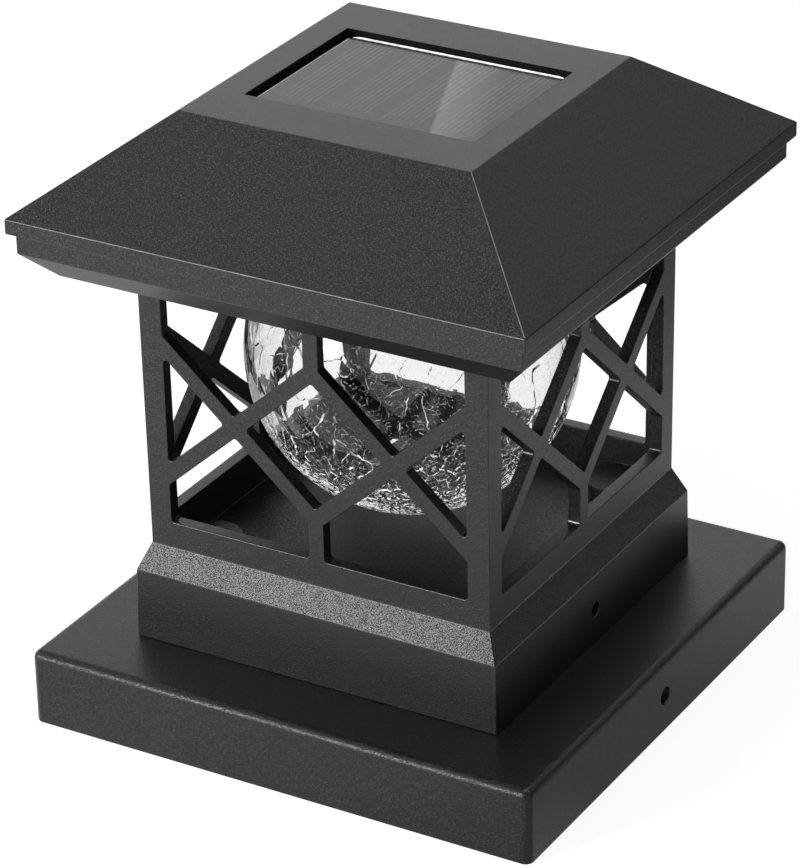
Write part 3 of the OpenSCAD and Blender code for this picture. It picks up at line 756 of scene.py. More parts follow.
def add_rings(part: bmesh.types.BMesh, profile: Profile, turns: int) -> list[list[bmesh.types.BMVert]]:
    """Adds the points of a turned form to a mesh.

    Args:
        part: The mesh.
        profile: Radius and height of each ring, in metres; a ring without radius is one point.
        turns: Steps round the axis, which is Z.

    Returns:
        Each ring's points.
    """
    rings = []
    for radius, height in profile:
        count = turns if radius > 1e-7 else 1
        angles = [FULL_TURN * k / count for k in range(count)]
        rings.append([part.verts.new((radius * math.cos(a), radius * math.sin(a), height)) for a in angles])
    return rings


def join_rings(part: bmesh.types.BMesh, rings: list[list[bmesh.types.BMVert]], turns: int) -> None:
    """Joins each ring to the next by faces.

    Args:
        part: The mesh.
        rings: The rings, in order.
        turns: Points of a whole ring.
    """
    for low, high in zip(rings, rings[1:]):
        for k in range(turns):
            n = (k + 1) % turns
            spots = [low[k % len(low)], low[n % len(low)], high[n % len(high)], high[k % len(high)]]
            corners = list(dict.fromkeys(spots))
            if len(corners) > 2:
                part.faces.new(corners)


class Shape:
    """A mesh in the making, to which forms are added one after another."""

    fold = math.radians(15.0)
    flatness = math.radians(0.4)

    def __init__(self, soften: float = 36.0) -> None:
        """Starts empty, with the angle in degrees up to which faces shade into one another."""
        self.bm, self.soften = bmesh.new(), math.radians(soften)

    def take(
        self, part: bmesh.types.BMesh, paint: int | None = None, at: Matrix | None = None, mark: bool = True
    ) -> "Shape":
        """Moves a part's faces into this mesh.

        Args:
            part: The part, which is used up.
            paint: The finish number of its faces, unless they have one.
            at: Where it goes, when that isn't the part's own frame.
            mark: Whether its sharp edges are still to be marked.

        Returns:
            This shape.
        """
        if mark:
            for edge in part.edges:
                edge.smooth = len(edge.link_faces) == 2 and edge.calc_face_angle(0.0) < self.soften
        if at is not None:
            bmesh.ops.transform(part, matrix=at, verts=part.verts)
        if paint is not None:
            for face in part.faces:
                face.material_index = paint
        mesh = bpy.data.meshes.new("part")
        part.to_mesh(mesh)
        part.free()
        self.bm.from_mesh(mesh)
        bpy.data.meshes.remove(mesh)
        return self

    def rounded_copy(
        self, node: bpy.types.Object, radius: float, steps: int = 2, edge_paint: int = 1
    ) -> "Shape":
        """Adds a CAD node's form with its folds rounded.

        Args:
            node: The node's object.
            radius: How far the rounding reaches from a fold, in metres.
            steps: How many faces each rounding has across.
            edge_paint: The finish number of the roundings.

        Returns:
            This shape.
        """
        part = bmesh.new()
        part.from_mesh(node.data)
        for face in part.faces:
            face.material_index = 0
        bmesh.ops.remove_doubles(part, verts=part.verts, dist=WELD)
        bmesh.ops.dissolve_limit(part, angle_limit=self.flatness, verts=part.verts, edges=part.edges)
        folds = [e for e in part.edges if len(e.link_faces) == 2 and e.calc_face_angle(0.0) > self.fold]
        made = bmesh.ops.bevel(
            part,
            geom=folds,
            offset=radius,
            offset_type="OFFSET",
            segments=steps,
            profile=0.5,
            affect="EDGES",
            clamp_overlap=False,
            material=edge_paint,
        )
        rounding = set(made["faces"])
        for edge in part.edges:
            reach = self.soften * 2 if rounding.intersection(edge.link_faces) else self.fold
            edge.smooth = len(edge.link_faces) == 2 and edge.calc_face_angle(0.0) < reach
        return self.take(part, mark=False)

    def revolve(self, profile: Profile, turns: int, at: Matrix | None = None, paint: int = 0) -> "Shape":
        """Adds a turned form.

        Args:
            profile: Radius and height of each point, in metres.
            turns: Steps round the axis, which is Z.
            at: Where the form goes.
            paint: Its finish number.

        Returns:
            This shape.
        """
        part = bmesh.new()
        join_rings(part, add_rings(part, profile, turns), turns)
        bmesh.ops.recalc_face_normals(part, faces=part.faces)
        return self.take(part, paint, at)

    def block(self, low: Vector, high: Vector, radius: float, paint: int = 0) -> "Shape":
        """Adds a block with rounded edges.

        Args:
            low: Its lowest corner.
            high: Its highest corner.
            radius: The rounding, in metres.
            paint: Its finish number.

        Returns:
            This shape.
        """
        part = bmesh.new()
        bmesh.ops.create_cube(part, size=1.0)
        for vert in part.verts:
            vert.co = Vector([low[i] + (high[i] - low[i]) * (vert.co[i] + 0.5) for i in range(3)])
        if radius > 0:
            bmesh.ops.bevel(part, geom=part.edges[:], offset=radius, segments=2, profile=0.5, affect="EDGES")
        return self.take(part, paint)

    def tube(
        self, points: list[Vector], radius: float, sides: int, paint: int = 0, taper: float = 1.0
    ) -> "Shape":
        """Adds a round tube along a path.

        Args:
            points: Points of its middle line.
            radius: Its radius, in metres.
            sides: Sides of its section.
            paint: Its finish number.
            taper: Radius at both ends as a share of the radius.

        Returns:
            This shape.
        """
        part, rings, last = bmesh.new(), [], len(points) - 1
        along = [(points[min(i + 1, last)] - points[max(i - 1, 0)]).normalized() for i in range(last + 1)]
        angles = [FULL_TURN * k / sides for k in range(sides)]
        side = along[0].orthogonal().normalized()
        for i, point in enumerate(points):
            side = (side - along[i] * side.dot(along[i])).normalized()
            other = along[i].cross(side)
            r = radius * (taper if i in (0, last) else 1.0)
            spots = [point + r * (side * math.cos(a) + other * math.sin(a)) for a in angles]
            rings.append([part.verts.new(spot) for spot in spots])
        join_rings(part, rings, sides)
        part.faces.new(rings[0][::-1])
        part.faces.new(rings[-1])
        bmesh.ops.recalc_face_normals(part, faces=part.faces)
        return self.take(part, paint)

    def faces(self, points: list[Vector], faces: list[list[int]]) -> "Shape":
        """Adds faces that are listed by the numbers of their points.

        Args:
            points: The points.
            faces: The numbers of each face's corners.

        Returns:
            This shape.
        """
        part = bmesh.new()
        verts = [part.verts.new(p) for p in points]
        for face in faces:
            part.faces.new([verts[i] for i in face])
        return self.take(part, 0)

    def object(self, name: str, finishes: list[Finish], flat: bool = False) -> bpy.types.Object:
        """Turns the shape into an object.

        Args:
            name: The piece's name.
            finishes: Its finishes, in the order of their numbers.
            flat: Whether broad faces are kept flat next to their roundings.

        Returns:
            The object.
        """
        for face in self.bm.faces:
            face.smooth = True
        mesh = bpy.data.meshes.new(name)
        self.bm.to_mesh(mesh)
        self.bm.free()
        piece = bpy.data.objects.new(name, mesh)
        bpy.context.scene.collection.objects.link(piece)
        for finish in finishes:
            mesh.materials.append(finish.material())
        if flat:
            weighted = piece.modifiers.new("flat_faces", "WEIGHTED_NORMAL")
            weighted.keep_sharp = True
            weighted.weight = 80
        return piece


def islands(node: bpy.types.Object) -> list[Box]:
    """Finds the separate solids of a CAD node.

    Args:
        node: The node's object.

    Returns:
        The lowest and highest corner of each solid.
    """
    bm = bmesh.new()
    bm.from_mesh(node.data)
    bmesh.ops.remove_doubles(bm, verts=bm.verts, dist=WELD)
    left, found = set(bm.verts), []
    while left:
        queue, group = [left.pop()], []
        while queue:
            vert = queue.pop()
            group.append(vert.co.copy())
            for edge in vert.link_edges:
                other = edge.other_vert(vert)
                if other in left:
                    left.remove(other)
                    queue.append(other)
        found.append(tuple(Vector([pick(c[i] for c in group) for i in range(3)]) for pick in (min, max)))
    bm.free()
    return sorted(found, key=lambda box: tuple(round(c, 5) for c in box[0]))


def middle(box: Box) -> Vector:
    """Returns the middle of a box given by its two corners."""
    return (box[0] + box[1]) / 2


def smooth_route(points: list[Vector], steps: int = 8) -> list[Vector]:
    """Draws a smooth line through points.

    Args:
        points: Where the line goes.
        steps: Pieces between two of them.

    Returns:
        The line's points.
    """
    made = []
    for i in range(len(points) - 1):
        a, b = points[max(i - 1, 0)], points[i]
        c, d = points[i + 1], points[min(i + 2, len(points) - 1)]
        for k in range(steps):
            t = k / steps
            square, cube = (2 * a - 5 * b + 4 * c - d) * t * t, (3 * b - a - 3 * c + d) * t**3
            made.append(0.5 * (2 * b + (c - a) * t + square + cube))
    return made + [points[-1]]


class Bench:
    """Hands finished pieces over to the part."""

    def __init__(self, frame: dict) -> None:
        """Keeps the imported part's nodes at hand."""
        self.nodes = frame["nodes"]

    def hand_over(self, piece: bpy.types.Object, body: Body, slot: Slot, *nodes: str) -> bpy.types.Object:
        """Lets a piece ride on its body and stand for CAD nodes.

        Args:
            piece: The finished piece.
            body: The body that it moves with.
            slot: Not used.
            nodes: The CAD nodes that it stands for.

        Returns:
            The piece.
        """
        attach(piece, body.value)
        if nodes:
            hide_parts(*nodes)
        LOG.info("%s rides on %s with %d faces", piece.name, body.value, len(piece.data.polygons))
        return piece

    def rounded(
        self,
        node: str,
        name: str,
        slot: Slot,
        finishes: list[Finish],
        radius: float,
        body: Body = Body.HEAD,
        steps: int = 2,
    ) -> bpy.types.Object:
        """Makes the rounded likeness of one CAD node and hands it over.

        Args:
            node: The CAD node.
            name: The piece's name.
            slot: The record's slot of its finish.
            finishes: The finish of its faces, then that of its edges.
            radius: The rounding, in metres.
            body: The body that it moves with.
            steps: Faces across a rounding.

        Returns:
            The piece.
        """
        shape = Shape().rounded_copy(self.nodes[node], radius, steps, len(finishes) - 1)
        return self.hand_over(shape.object(name, finishes, flat=True), body, slot, node)


@dataclass
class SubAssembly:
    """What every sub-assembly has: the bench that its pieces go to, and a row of random draws."""

    bench: Bench
    seed: int = 0

    def __post_init__(self) -> None:
        """Starts the row of random draws."""
        self.random = random.Random(self.seed)

    def build(self) -> None:
        """Makes every piece of the sub-assembly."""
        raise NotImplementedError


# --------------------------------------------------------------------- studio


@dataclass(frozen=True)
class PhotoView:
    """Where the photograph was taken from, worked out from the part's corners; angles are in degrees."""

    turn: float = 30.667
    rise: float = 27.027
    roll: float = -1.237
    distance: float = 1093.45 * MM
    aside: float = -3.825 * MM
    up: float = -8.921 * MM
    aim_height: float = 80 * MM
    focal_share: float = 4147.781 / 868
    sensor: float = 36.0
    near: float = 20 * MM

    def camera(self) -> bpy.types.Object:
        """Sets up the camera.

        Returns:
            The camera, which the scene also uses.
        """
        turn, rise, roll = (math.radians(a) for a in (self.turn, self.rise, self.roll))
        back = Vector((math.sin(turn) * math.cos(rise), -math.cos(turn) * math.cos(rise), math.sin(rise)))
        right = Vector((math.cos(turn), math.sin(turn), 0.0))
        up = back.cross(right)
        place = Vector((0, 0, self.aim_height)) + back * self.distance + right * self.aside + up * self.up
        across = right * math.cos(roll) + up * math.sin(roll)
        over = up * math.cos(roll) - right * math.sin(roll)
        data = bpy.data.cameras.new("photo_camera")
        data.sensor_fit = "VERTICAL"
        data.sensor_height = self.sensor
        data.lens = self.focal_share * self.sensor
        data.clip_start = self.near
        camera = bpy.data.objects.new("photo_camera", data)
        axes = Matrix((across, over, back)).transposed().to_4x4()
        camera.matrix_world = Matrix.Translation(place) @ axes
        bpy.context.scene.collection.objects.link(camera)
        bpy.context.scene.camera = camera
        return camera


@dataclass(frozen=True)
class SoftLight:
    """A rectangular diffuser that lights the part from one side."""

    name: str
    towards: Way
    distance: float
    width: float
    height: float
    radiance: float
    aim_height: float = 90 * MM

    def light(self) -> bpy.types.Object:
        """Sets up the lamp.

        Returns:
            The lamp, aimed at the middle of the part.
        """
        data = bpy.data.lights.new(self.name, "AREA")
        data.shape = "RECTANGLE"
        data.size, data.size_y = self.width, self.height
        data.energy = self.radiance * math.pi * self.width * self.height
        lamp = bpy.data.objects.new(self.name, data)
        aim = Vector((0, 0, self.aim_height))
        lamp.location = aim + Vector(self.towards).normalized() * self.distance
        lamp.rotation_euler = (lamp.location - aim).to_track_quat("Z", "Y").to_euler()
        lamp.visible_camera = False
        bpy.context.scene.collection.objects.link(lamp)
        return lamp


@dataclass(frozen=True)
class FloorSizes:
    """The floor, fitted to the greys of the photograph.

    Each row of mirrored says between which two places towards the back the floor that black mouldings mirror
    changes, and between which two strengths. The rows add up.
    """

    width: float = 7.0
    bounce: float = 0.8
    tone: float = 0.5
    own: float = 0.88
    under_base: float = 73.5 * MM
    base_wall: float = 1 * MM
    back: Way = (0.5, 0.86, 0.0)
    mirrored: tuple[tuple[float, float, float, float], ...] = (
        (-0.09, 0.01, 1.0, 0.38),
        (-0.2, -0.12, 0.12, 0.0),
        (0.06, 0.15, 0.0, 0.48),
        (0.2, 0.33, 0.0, -0.64),
    )


@dataclass(frozen=True)
class SkySizes:
    """The room that glossy surfaces mirror: brighter at the left, with a screen and a hatch overhead."""

    left: float = 1.19
    left_range: Ramp = (0.15, -0.3)
    right: float = 0.67
    right_range: Ramp = (0.28, 0.5)
    top: float = 0.38
    top_range: Ramp = (0.6, 0.85)
    screen_edge: Way = (0.8769, 0.3459, 0.3338)
    screen_blur: float = 0.0003
    screen_gain: float = 0.7
    screen_loss: float = -0.1
    screen_fall: float = 0.013
    hatch: Way = (0.079, 0.233, 0.967)
    hatch_range: Ramp = (0.976, 0.988)
    hatch_glow: float = 16.0


@dataclass(frozen=True)
class Studio:
    """A plain white room with soft light, like the photograph's."""

    view: PhotoView = PhotoView()
    card: SoftLight = SoftLight("front_left_card", (-0.4545, -0.8593, 0.2357), 1.2, 0.36, 0.22, 41.0)
    floor: FloorSizes = FloorSizes()
    sky: SkySizes = SkySizes()
    ambient: float = 0.25

    def build(self) -> None:
        """Makes camera, floor, surround and the card that the light comes from."""
        bpy.context.scene.view_settings.view_transform = "Standard"
        self.view.camera()
        self._floor()
        self._surround()
        self.card.light()
        LOG.info("studio is lit")

    def _shown(self, shade: Shade) -> Socket:
        """Returns 1 for rays that show the room itself: straight or through glass."""
        return shade.maths(shade.path("Is Camera Ray"), shade.path("Is Transmission Ray"), "MAXIMUM")

    def _floor_look(self, shade: Shade) -> Socket:
        """Mixes what the floor shows, what it mirrors and what it throws back as light.

        Args:
            shade: The floor's tree.

        Returns:
            The floor's shader.
        """
        s, parts = self.floor, shade.axes()
        out = [shade.add("Math", {0: parts[axis]}, operation="ABSOLUTE").outputs[0] for axis in ("X", "Y")]
        far = shade.maths(*out, "MAXIMUM")
        own = shade.glow(shade.remap(far, s.under_base - s.base_wall, s.under_base, 0.0, s.own))
        soft, bounce = (
            shade.add("BsdfDiffuse", {"Color": grey(tone)}).outputs[0] for tone in (s.tone, s.bounce)
        )
        shown = shade.add("AddShader", {0: soft, 1: own}).outputs[0]
        along, glow = shade.towards(shade.place, s.back), 0.0
        for row in s.mirrored:
            glow = shade.maths(glow, shade.remap(along, *row))
        lit = shade.either(shade.path("Is Glossy Ray"), bounce, shade.glow(glow))
        return shade.either(self._shown(shade), lit, shown)

    def _floor(self) -> None:
        """Makes the pale floor, which takes a soft shadow and is mirrored darker at the back right."""
        material = bpy.data.materials.new("studio_floor")
        material.use_nodes = True
        shade = Shade(material.node_tree)
        shade.surface(self._floor_look(shade))
        half = self.floor.width / 2
        corners = [Vector((x * half, y * half, 0)) for x, y in ((-1, -1), (1, -1), (1, 1), (-1, 1))]
        mesh = bpy.data.meshes.new("studio_floor")
        mesh.from_pydata(corners, [], [[0, 1, 2, 3]])
        mesh.materials.append(material)
        floor = bpy.data.objects.new("studio_floor", mesh)
        bpy.context.scene.collection.objects.link(floor)

    def _sky_look(self, shade: Shade) -> Socket:
        """Works out how bright the room is in each direction where glossy surfaces mirror it.

        Args:
            shade: The world's tree.

        Returns:
            The brightness.
        """
        s, direction = self.sky, shade.add("TexCoord").outputs["Generated"]
        parts = shade.axes(direction)
        dim = shade.remap(parts["Z"], *s.right_range, 0.0, s.right)
        left = shade.share(parts["X"], *s.left_range)
        across = shade.towards(direction, s.screen_edge)
        fall = shade.remap(across, 0.0, s.screen_fall, s.screen_gain, s.screen_loss)
        screen = shade.product(shade.share(across, -s.screen_blur, s.screen_blur), fall)
        bright = shade.product(shade.product(shade.maths(screen, 1.0), s.left), left)
        fade = shade.remap(parts["Z"], *s.top_range, 1.0, s.top)
        room = shade.product(shade.maths(bright, dim, "MAXIMUM"), fade)
        hatch = shade.remap(shade.towards(direction, s.hatch), *s.hatch_range, 0.0, s.hatch_glow)
        return shade.maths(room, hatch)

    def _surround(self) -> None:
        """Makes the room: white where it is seen, softer where it only lights."""
        world = bpy.data.worlds.new("studio_room")
        world.use_nodes = True
        bpy.context.scene.world = world
        shade = Shade(world.node_tree)
        plain, mirrored, white = (
            shade.glow(strength, "Background") for strength in (self.ambient, self._sky_look(shade), 1.0)
        )
        lit = shade.either(shade.path("Is Glossy Ray"), plain, mirrored)
        shade.add("OutputWorld", {"Surface": shade.either(self._shown(shade), lit, white)})


# --------------------------------------------------------------------- screws


@dataclass(frozen=True)
class ScrewSizes:
    """One kind of screw: head and shank as in the CAD part, then shares of these for thread and recess."""

    head_r: float
    head_h: float
    shank_r: float
    length: float
    pitch: float
    core: float = 0.8
    tip: float = 1.4
    thread_steps: int = 16
    dome: float = 0.32
    slot: float = 0.6
    slot_width: float = 0.28
    slot_foot: float = 0.82
    slot_depth: float = 0.48

    def add_to(self, shape: Shape, at: Matrix) -> None:
        """Adds the screw to a shape, head up where its place says.

        Args:
            shape: The shape that takes it.
            at: Its place: the head sits on z = 0 and the shank points down.
        """
        root, tip = self.shank_r * self.core, self.shank_r * self.tip
        end = -self.length
        shape.revolve([(0.0, end), (root * 0.35, end + tip * 0.15), (root, end + tip), (root, 0.0)], 20, at)
        count = int((self.length - tip * 0.9) / self.pitch * self.thread_steps)
        ridge = []
        for i in range(count + 1):
            angle, drop = FULL_TURN * i / self.thread_steps, self.pitch * i / self.thread_steps
            spot = Vector((root * math.cos(angle), root * math.sin(angle), -drop - self.pitch * 0.3))
            ridge.append(at @ spot)
        shape.tube(ridge, self.shank_r - root, 4, taper=0.3)
        self._head(shape, at)

    def _head(self, shape: Shape, at: Matrix) -> None:
        """Adds the domed head with its cross recess.

        Args:
            shape: The shape that takes it.
            at: Its place.
        """
        part, turns = bmesh.new(), 40
        r, h = self.head_r, self.head_h
        bend = self.dome * h
        profile = [(self.shank_r * self.core, 0.0), (r - 0.12 * bend, 0.0), (r, 0.2 * bend), (r, h - bend)]
        for a in (math.pi / 6, math.pi / 3, 1.45):
            profile.append((r - bend * 1.6 * (1 - math.cos(a)), h - bend + bend * math.sin(a)))
        rings = add_rings(part, profile, turns)
        join_rings(part, rings, turns)
        arm, half, top = r * self.slot, r * self.slot_width / 2, profile[-1][1]
        corner = [(arm, -half), (arm, half), (half, half), (half, arm), (-half, arm), (-half, half)]
        cross = corner + [(-x, -y) for x, y in corner]
        foot, floor = self.slot_foot, top - h * self.slot_depth
        rim = [part.verts.new((x, y, top)) for x, y in cross]
        deep = [part.verts.new((x * foot, y * foot, floor)) for x, y in cross]
        pairs = [(i, (i + 1) % len(cross)) for i in range(len(cross))]
        edges = [part.edges.new((rim[i], rim[n])) for i, n in pairs]
        edges += [part.edges.get((rings[-1][k], rings[-1][(k + 1) % turns])) for k in range(turns)]
        bmesh.ops.triangle_fill(part, use_beauty=True, edges=edges)
        for i, n in pairs:
            part.faces.new([rim[i], rim[n], deep[n], deep[i]])
        part.faces.new(deep)
        bmesh.ops.recalc_face_normals(part, faces=part.faces)
        shape.take(part, 0, at)


@dataclass
class Fasteners(SubAssembly):
    """The screws of the part, each set where its CAD solids are.

    Each kind has its sizes, the body that it rides on, and whether its heads are up.
    """

    seed: int = 11
    kinds = {
        "flange_screws": (ScrewSizes(3.1 * MM, 2.2 * MM, 1.5 * MM, 8.6 * MM, 1.1 * MM), Body.BASE, False),
        "tray_screws": (ScrewSizes(2.9 * MM, 1.3 * MM, 1.4 * MM, 12 * MM, 1.1 * MM), Body.HEAD, False),
        "collar_screws": (ScrewSizes(2.5 * MM, 1.6 * MM, 1.25 * MM, 7 * MM, 0.9 * MM), Body.HEAD, True),
        "led_screws": (ScrewSizes(1.8 * MM, 1.2 * MM, 0.9 * MM, 4.2 * MM, 0.7 * MM), Body.HEAD, False),
        "board_screws": (ScrewSizes(1.8 * MM, 1.2 * MM, 0.9 * MM, 4.2 * MM, 0.7 * MM), Body.HEAD, True),
    }

    def build(self) -> None:
        """Makes every set of screws, each screw turned its own way."""
        for node, (sizes, body, up) in self.kinds.items():
            shape = Shape()
            for low, high in islands(self.bench.nodes[node]):
                spot = middle((low, high))
                spot.z = high.z - sizes.head_h if up else low.z + sizes.head_h
                turn = Matrix.Rotation(self.random.uniform(0, math.pi / 2), 4, "Z")
                flip = Matrix.Identity(4) if up else Matrix.Rotation(math.pi, 4, "X")
                sizes.add_to(shape, Matrix.Translation(spot) @ flip @ turn)
            self.bench.hand_over(shape.object(node + "_threaded", [Finishes.steel]), body, Slot.SCREW, node)


# ---------------------------------------------------------------- mouldings


@dataclass(frozen=True)
class HousingSizes:
    """Roundings of the large mouldings, and what counts as the recess of the panel, whose walls get painted
    shade.
    """

    flange_edge: float = 0.3 * MM
    cage_edge: float = 0.28 * MM
    roof_edge: float = 0.28 * MM
    tray_edge: float = 0.25 * MM
    collar_edge: float = 0.25 * MM
    recess_gap: float = 4.0 * MM
    recess_depth: float = 1.0 * MM


@dataclass
class Housing(SubAssembly):
    """Flange, lantern cage, head tray, roof and globe collar."""

    sizes: HousingSizes = HousingSizes()

    def build(self) -> None:
        """Makes each moulding from its CAD node with rounded edges that are lighter: partly wear, partly
        painted highlight.
        """
        f, s, make = Finishes, self.sizes, self.bench.rounded
        lantern, tray = [f.lantern, f.lantern_edge], [f.tray, f.tray_edge]
        make("base_flange", "flange_cap", Slot.FLANGE, [f.flange, f.flange_edge], s.flange_edge, Body.BASE)
        make("lantern_body", "lantern_cage", Slot.LANTERN, lantern, s.cage_edge, Body.BASE)
        self._paint_recess_shade(make("roof_shell", "roof_hipped", Slot.ROOF, [f.roof, f.roof_edge], s.roof_edge))
        make("head_tray", "roof_tray", Slot.TRAY, tray, s.tray_edge)
        make("globe_collar", "neck_collar", Slot.TRAY, tray, s.collar_edge)

    def _paint_recess_shade(self, roof: bpy.types.Object) -> None:
        """Paints shade on the walls of the panel's recess: a near-black, dull finish stands in for the little
        light that gets down there.

        Args:
            roof: The roof.
        """
        s, (low, high) = self.sizes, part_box("panel_cover")
        roof.data.materials.append(Finishes.recess.material())
        for face in roof.data.polygons:
            spot = face.center
            inside = all(low[i] - s.recess_gap < spot[i] < high[i] + s.recess_gap for i in (0, 1))
            if inside and spot.z > low.z - s.recess_depth and face.normal.z < 0.99:
                face.material_index = len(roof.data.materials) - 1


# ---------------------------------------------------------------- solar panel


@dataclass(frozen=True)
class PanelSizes:
    """Cells and fingers of the solar panel."""

    fingers: int = 8
    pitch: float = 1.4 * MM
    width: float = 0.38 * MM
    rise: float = 0.02 * MM
    sunk: float = 0.005 * MM
    front_stop: float = 5.0 * MM
    back_stop: float = 0.6 * MM
    ragged: float = 1.2 * MM
    cell_edge: float = 0.04 * MM
    cover_edge: float = 0.22 * MM
    # Widths of the painted glow strips along the cover's back and left edges.
    back_painted_glow: float = 1.3 * MM
    side_painted_glow: float = 0.25 * MM
    board_edge: float = 0.12 * MM


@dataclass
class SolarPanel(SubAssembly):
    """Foam seal, backing board, silicon cells with silver fingers, and the clear cover."""

    seed: int = 5
    sizes: PanelSizes = PanelSizes()

    def build(self) -> None:
        """Makes the four layers of the panel."""
        f, s, make = Finishes, self.sizes, self.bench.rounded
        seal = make("panel_seal", "panel_foam", Slot.FOAM, [f.foam], s.board_edge)
        make("panel_board", "panel_backing", Slot.BACKING, [f.backing], s.board_edge)
        self._cells()
        self._cover()

    def _cover(self) -> None:
        """Makes the clear cover, with a painted highlight: a glowing strip along the top of its back and left
        edges.
        """
        s, (low, high) = self.sizes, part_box("panel_cover")
        shape = Shape().rounded_copy(self.bench.nodes["panel_cover"], s.cover_edge, steps=3, edge_paint=0)
        back = (Vector((0, high.y - s.back_painted_glow, 0)), Vector((0, 1, 0)))
        left = (Vector((low.x + s.side_painted_glow, 0, 0)), Vector((-1, 0, 0)))
        # Faces on top beyond each plane take the painted glow.
        for spot, along in (back, left):
            geometry = shape.bm.verts[:] + shape.bm.edges[:] + shape.bm.faces[:]
            bmesh.ops.bisect_plane(shape.bm, geom=geometry, plane_co=spot, plane_no=along)
            for face in shape.bm.faces:
                if (face.calc_center_median() - spot).dot(along) > 0 and face.normal.z > 0.1:
                    face.material_index = 1
        cover = shape.object("panel_resin", [Finishes.cover, Finishes.cut], flat=True)
        self.bench.hand_over(cover, Body.HEAD, Slot.COVER, "panel_cover")

    def _cells(self) -> None:
        """Makes the cell strips, each with its row of fingers."""
        shape, s, draw = Shape(), self.sizes, self.random.uniform
        for low, high in islands(self.bench.nodes["panel_cells"]):
            top = high.z - 2 * s.rise
            shape.block(low, Vector((high.x, high.y, top)), s.cell_edge)
            centre = (low.x + high.x) / 2
            for i in range(s.fingers):
                x = centre + (i - (s.fingers - 1) / 2) * s.pitch
                front = low.y + s.front_stop + draw(-0.5, 0.5) * s.ragged
                back = high.y - s.back_stop - draw(0.0, 0.4) * s.ragged
                width = s.width * draw(0.75, 1.2)
                foot = Vector((x - width / 2, front, top - s.sunk))
                shape.block(foot, Vector((x + width / 2, back, top + s.rise)), 0.0, paint=1)
        cells = shape.object("panel_silicon", [Finishes.silicon, Finishes.paste])
        self.bench.hand_over(cells, Body.HEAD, Slot.CELL, "panel_cells")


# ---------------------------------------------------------------------- globe


@dataclass(frozen=True)
class GlobeSizes:
    """The blown globe and its cracks.

    Numbers for high hold in the upper half, and those for low on the underside, which the globe turns into
    over low_span from the height low_from on, where 1 is the globe's radius. Tall is how much taller than
    wide the cells between the cracks are. Of the cells' borders, a share of kept becomes a crack; high up
    lost_high fewer do, but upright ones regain lost_upright of it.
    """

    radius: float = 44.35 * MM
    glass: float = 2.2 * MM
    centre: float = 95.9 * MM
    neck: float = 24.0 * MM
    neck_top: float = 137.59 * MM
    neck_blend: float = 30 * MM
    lip: float = 0.35 * MM
    turns: int = 144
    steps_out: int = 84
    steps_in: int = 60
    wave: float = 0.04 * MM
    wave_size: float = 8.5 * MM
    wave_fade: float = 8 * MM
    ring_edge: float = 0.2 * MM
    cell_high: float = 4.3 * MM
    cell_low: float = 2.1 * MM
    tall_high: float = 2.8
    tall_low: float = 0.6
    low_from: float = -0.05
    low_span: float = 0.5
    tries: int = 30000
    tries_all_over: float = 0.4
    seeds_top: float = 0.86
    seeds_low_top: float = -0.1
    crowding: float = 0.7
    jitter: float = 0.012
    crack_free: float = 0.8
    kept: float = 0.96
    lost_high: float = 0.74
    lost_upright: float = 0.7
    crack_top: float = 0.12 * MM
    crack_high: float = 1.2 * MM
    crack_low: float = 1.1 * MM
    crack_step: float = 1.1 * MM
    shortest: float = 0.006
    longest: float = 0.6
    lean: float = 30.0
    wobble: float = 0.2


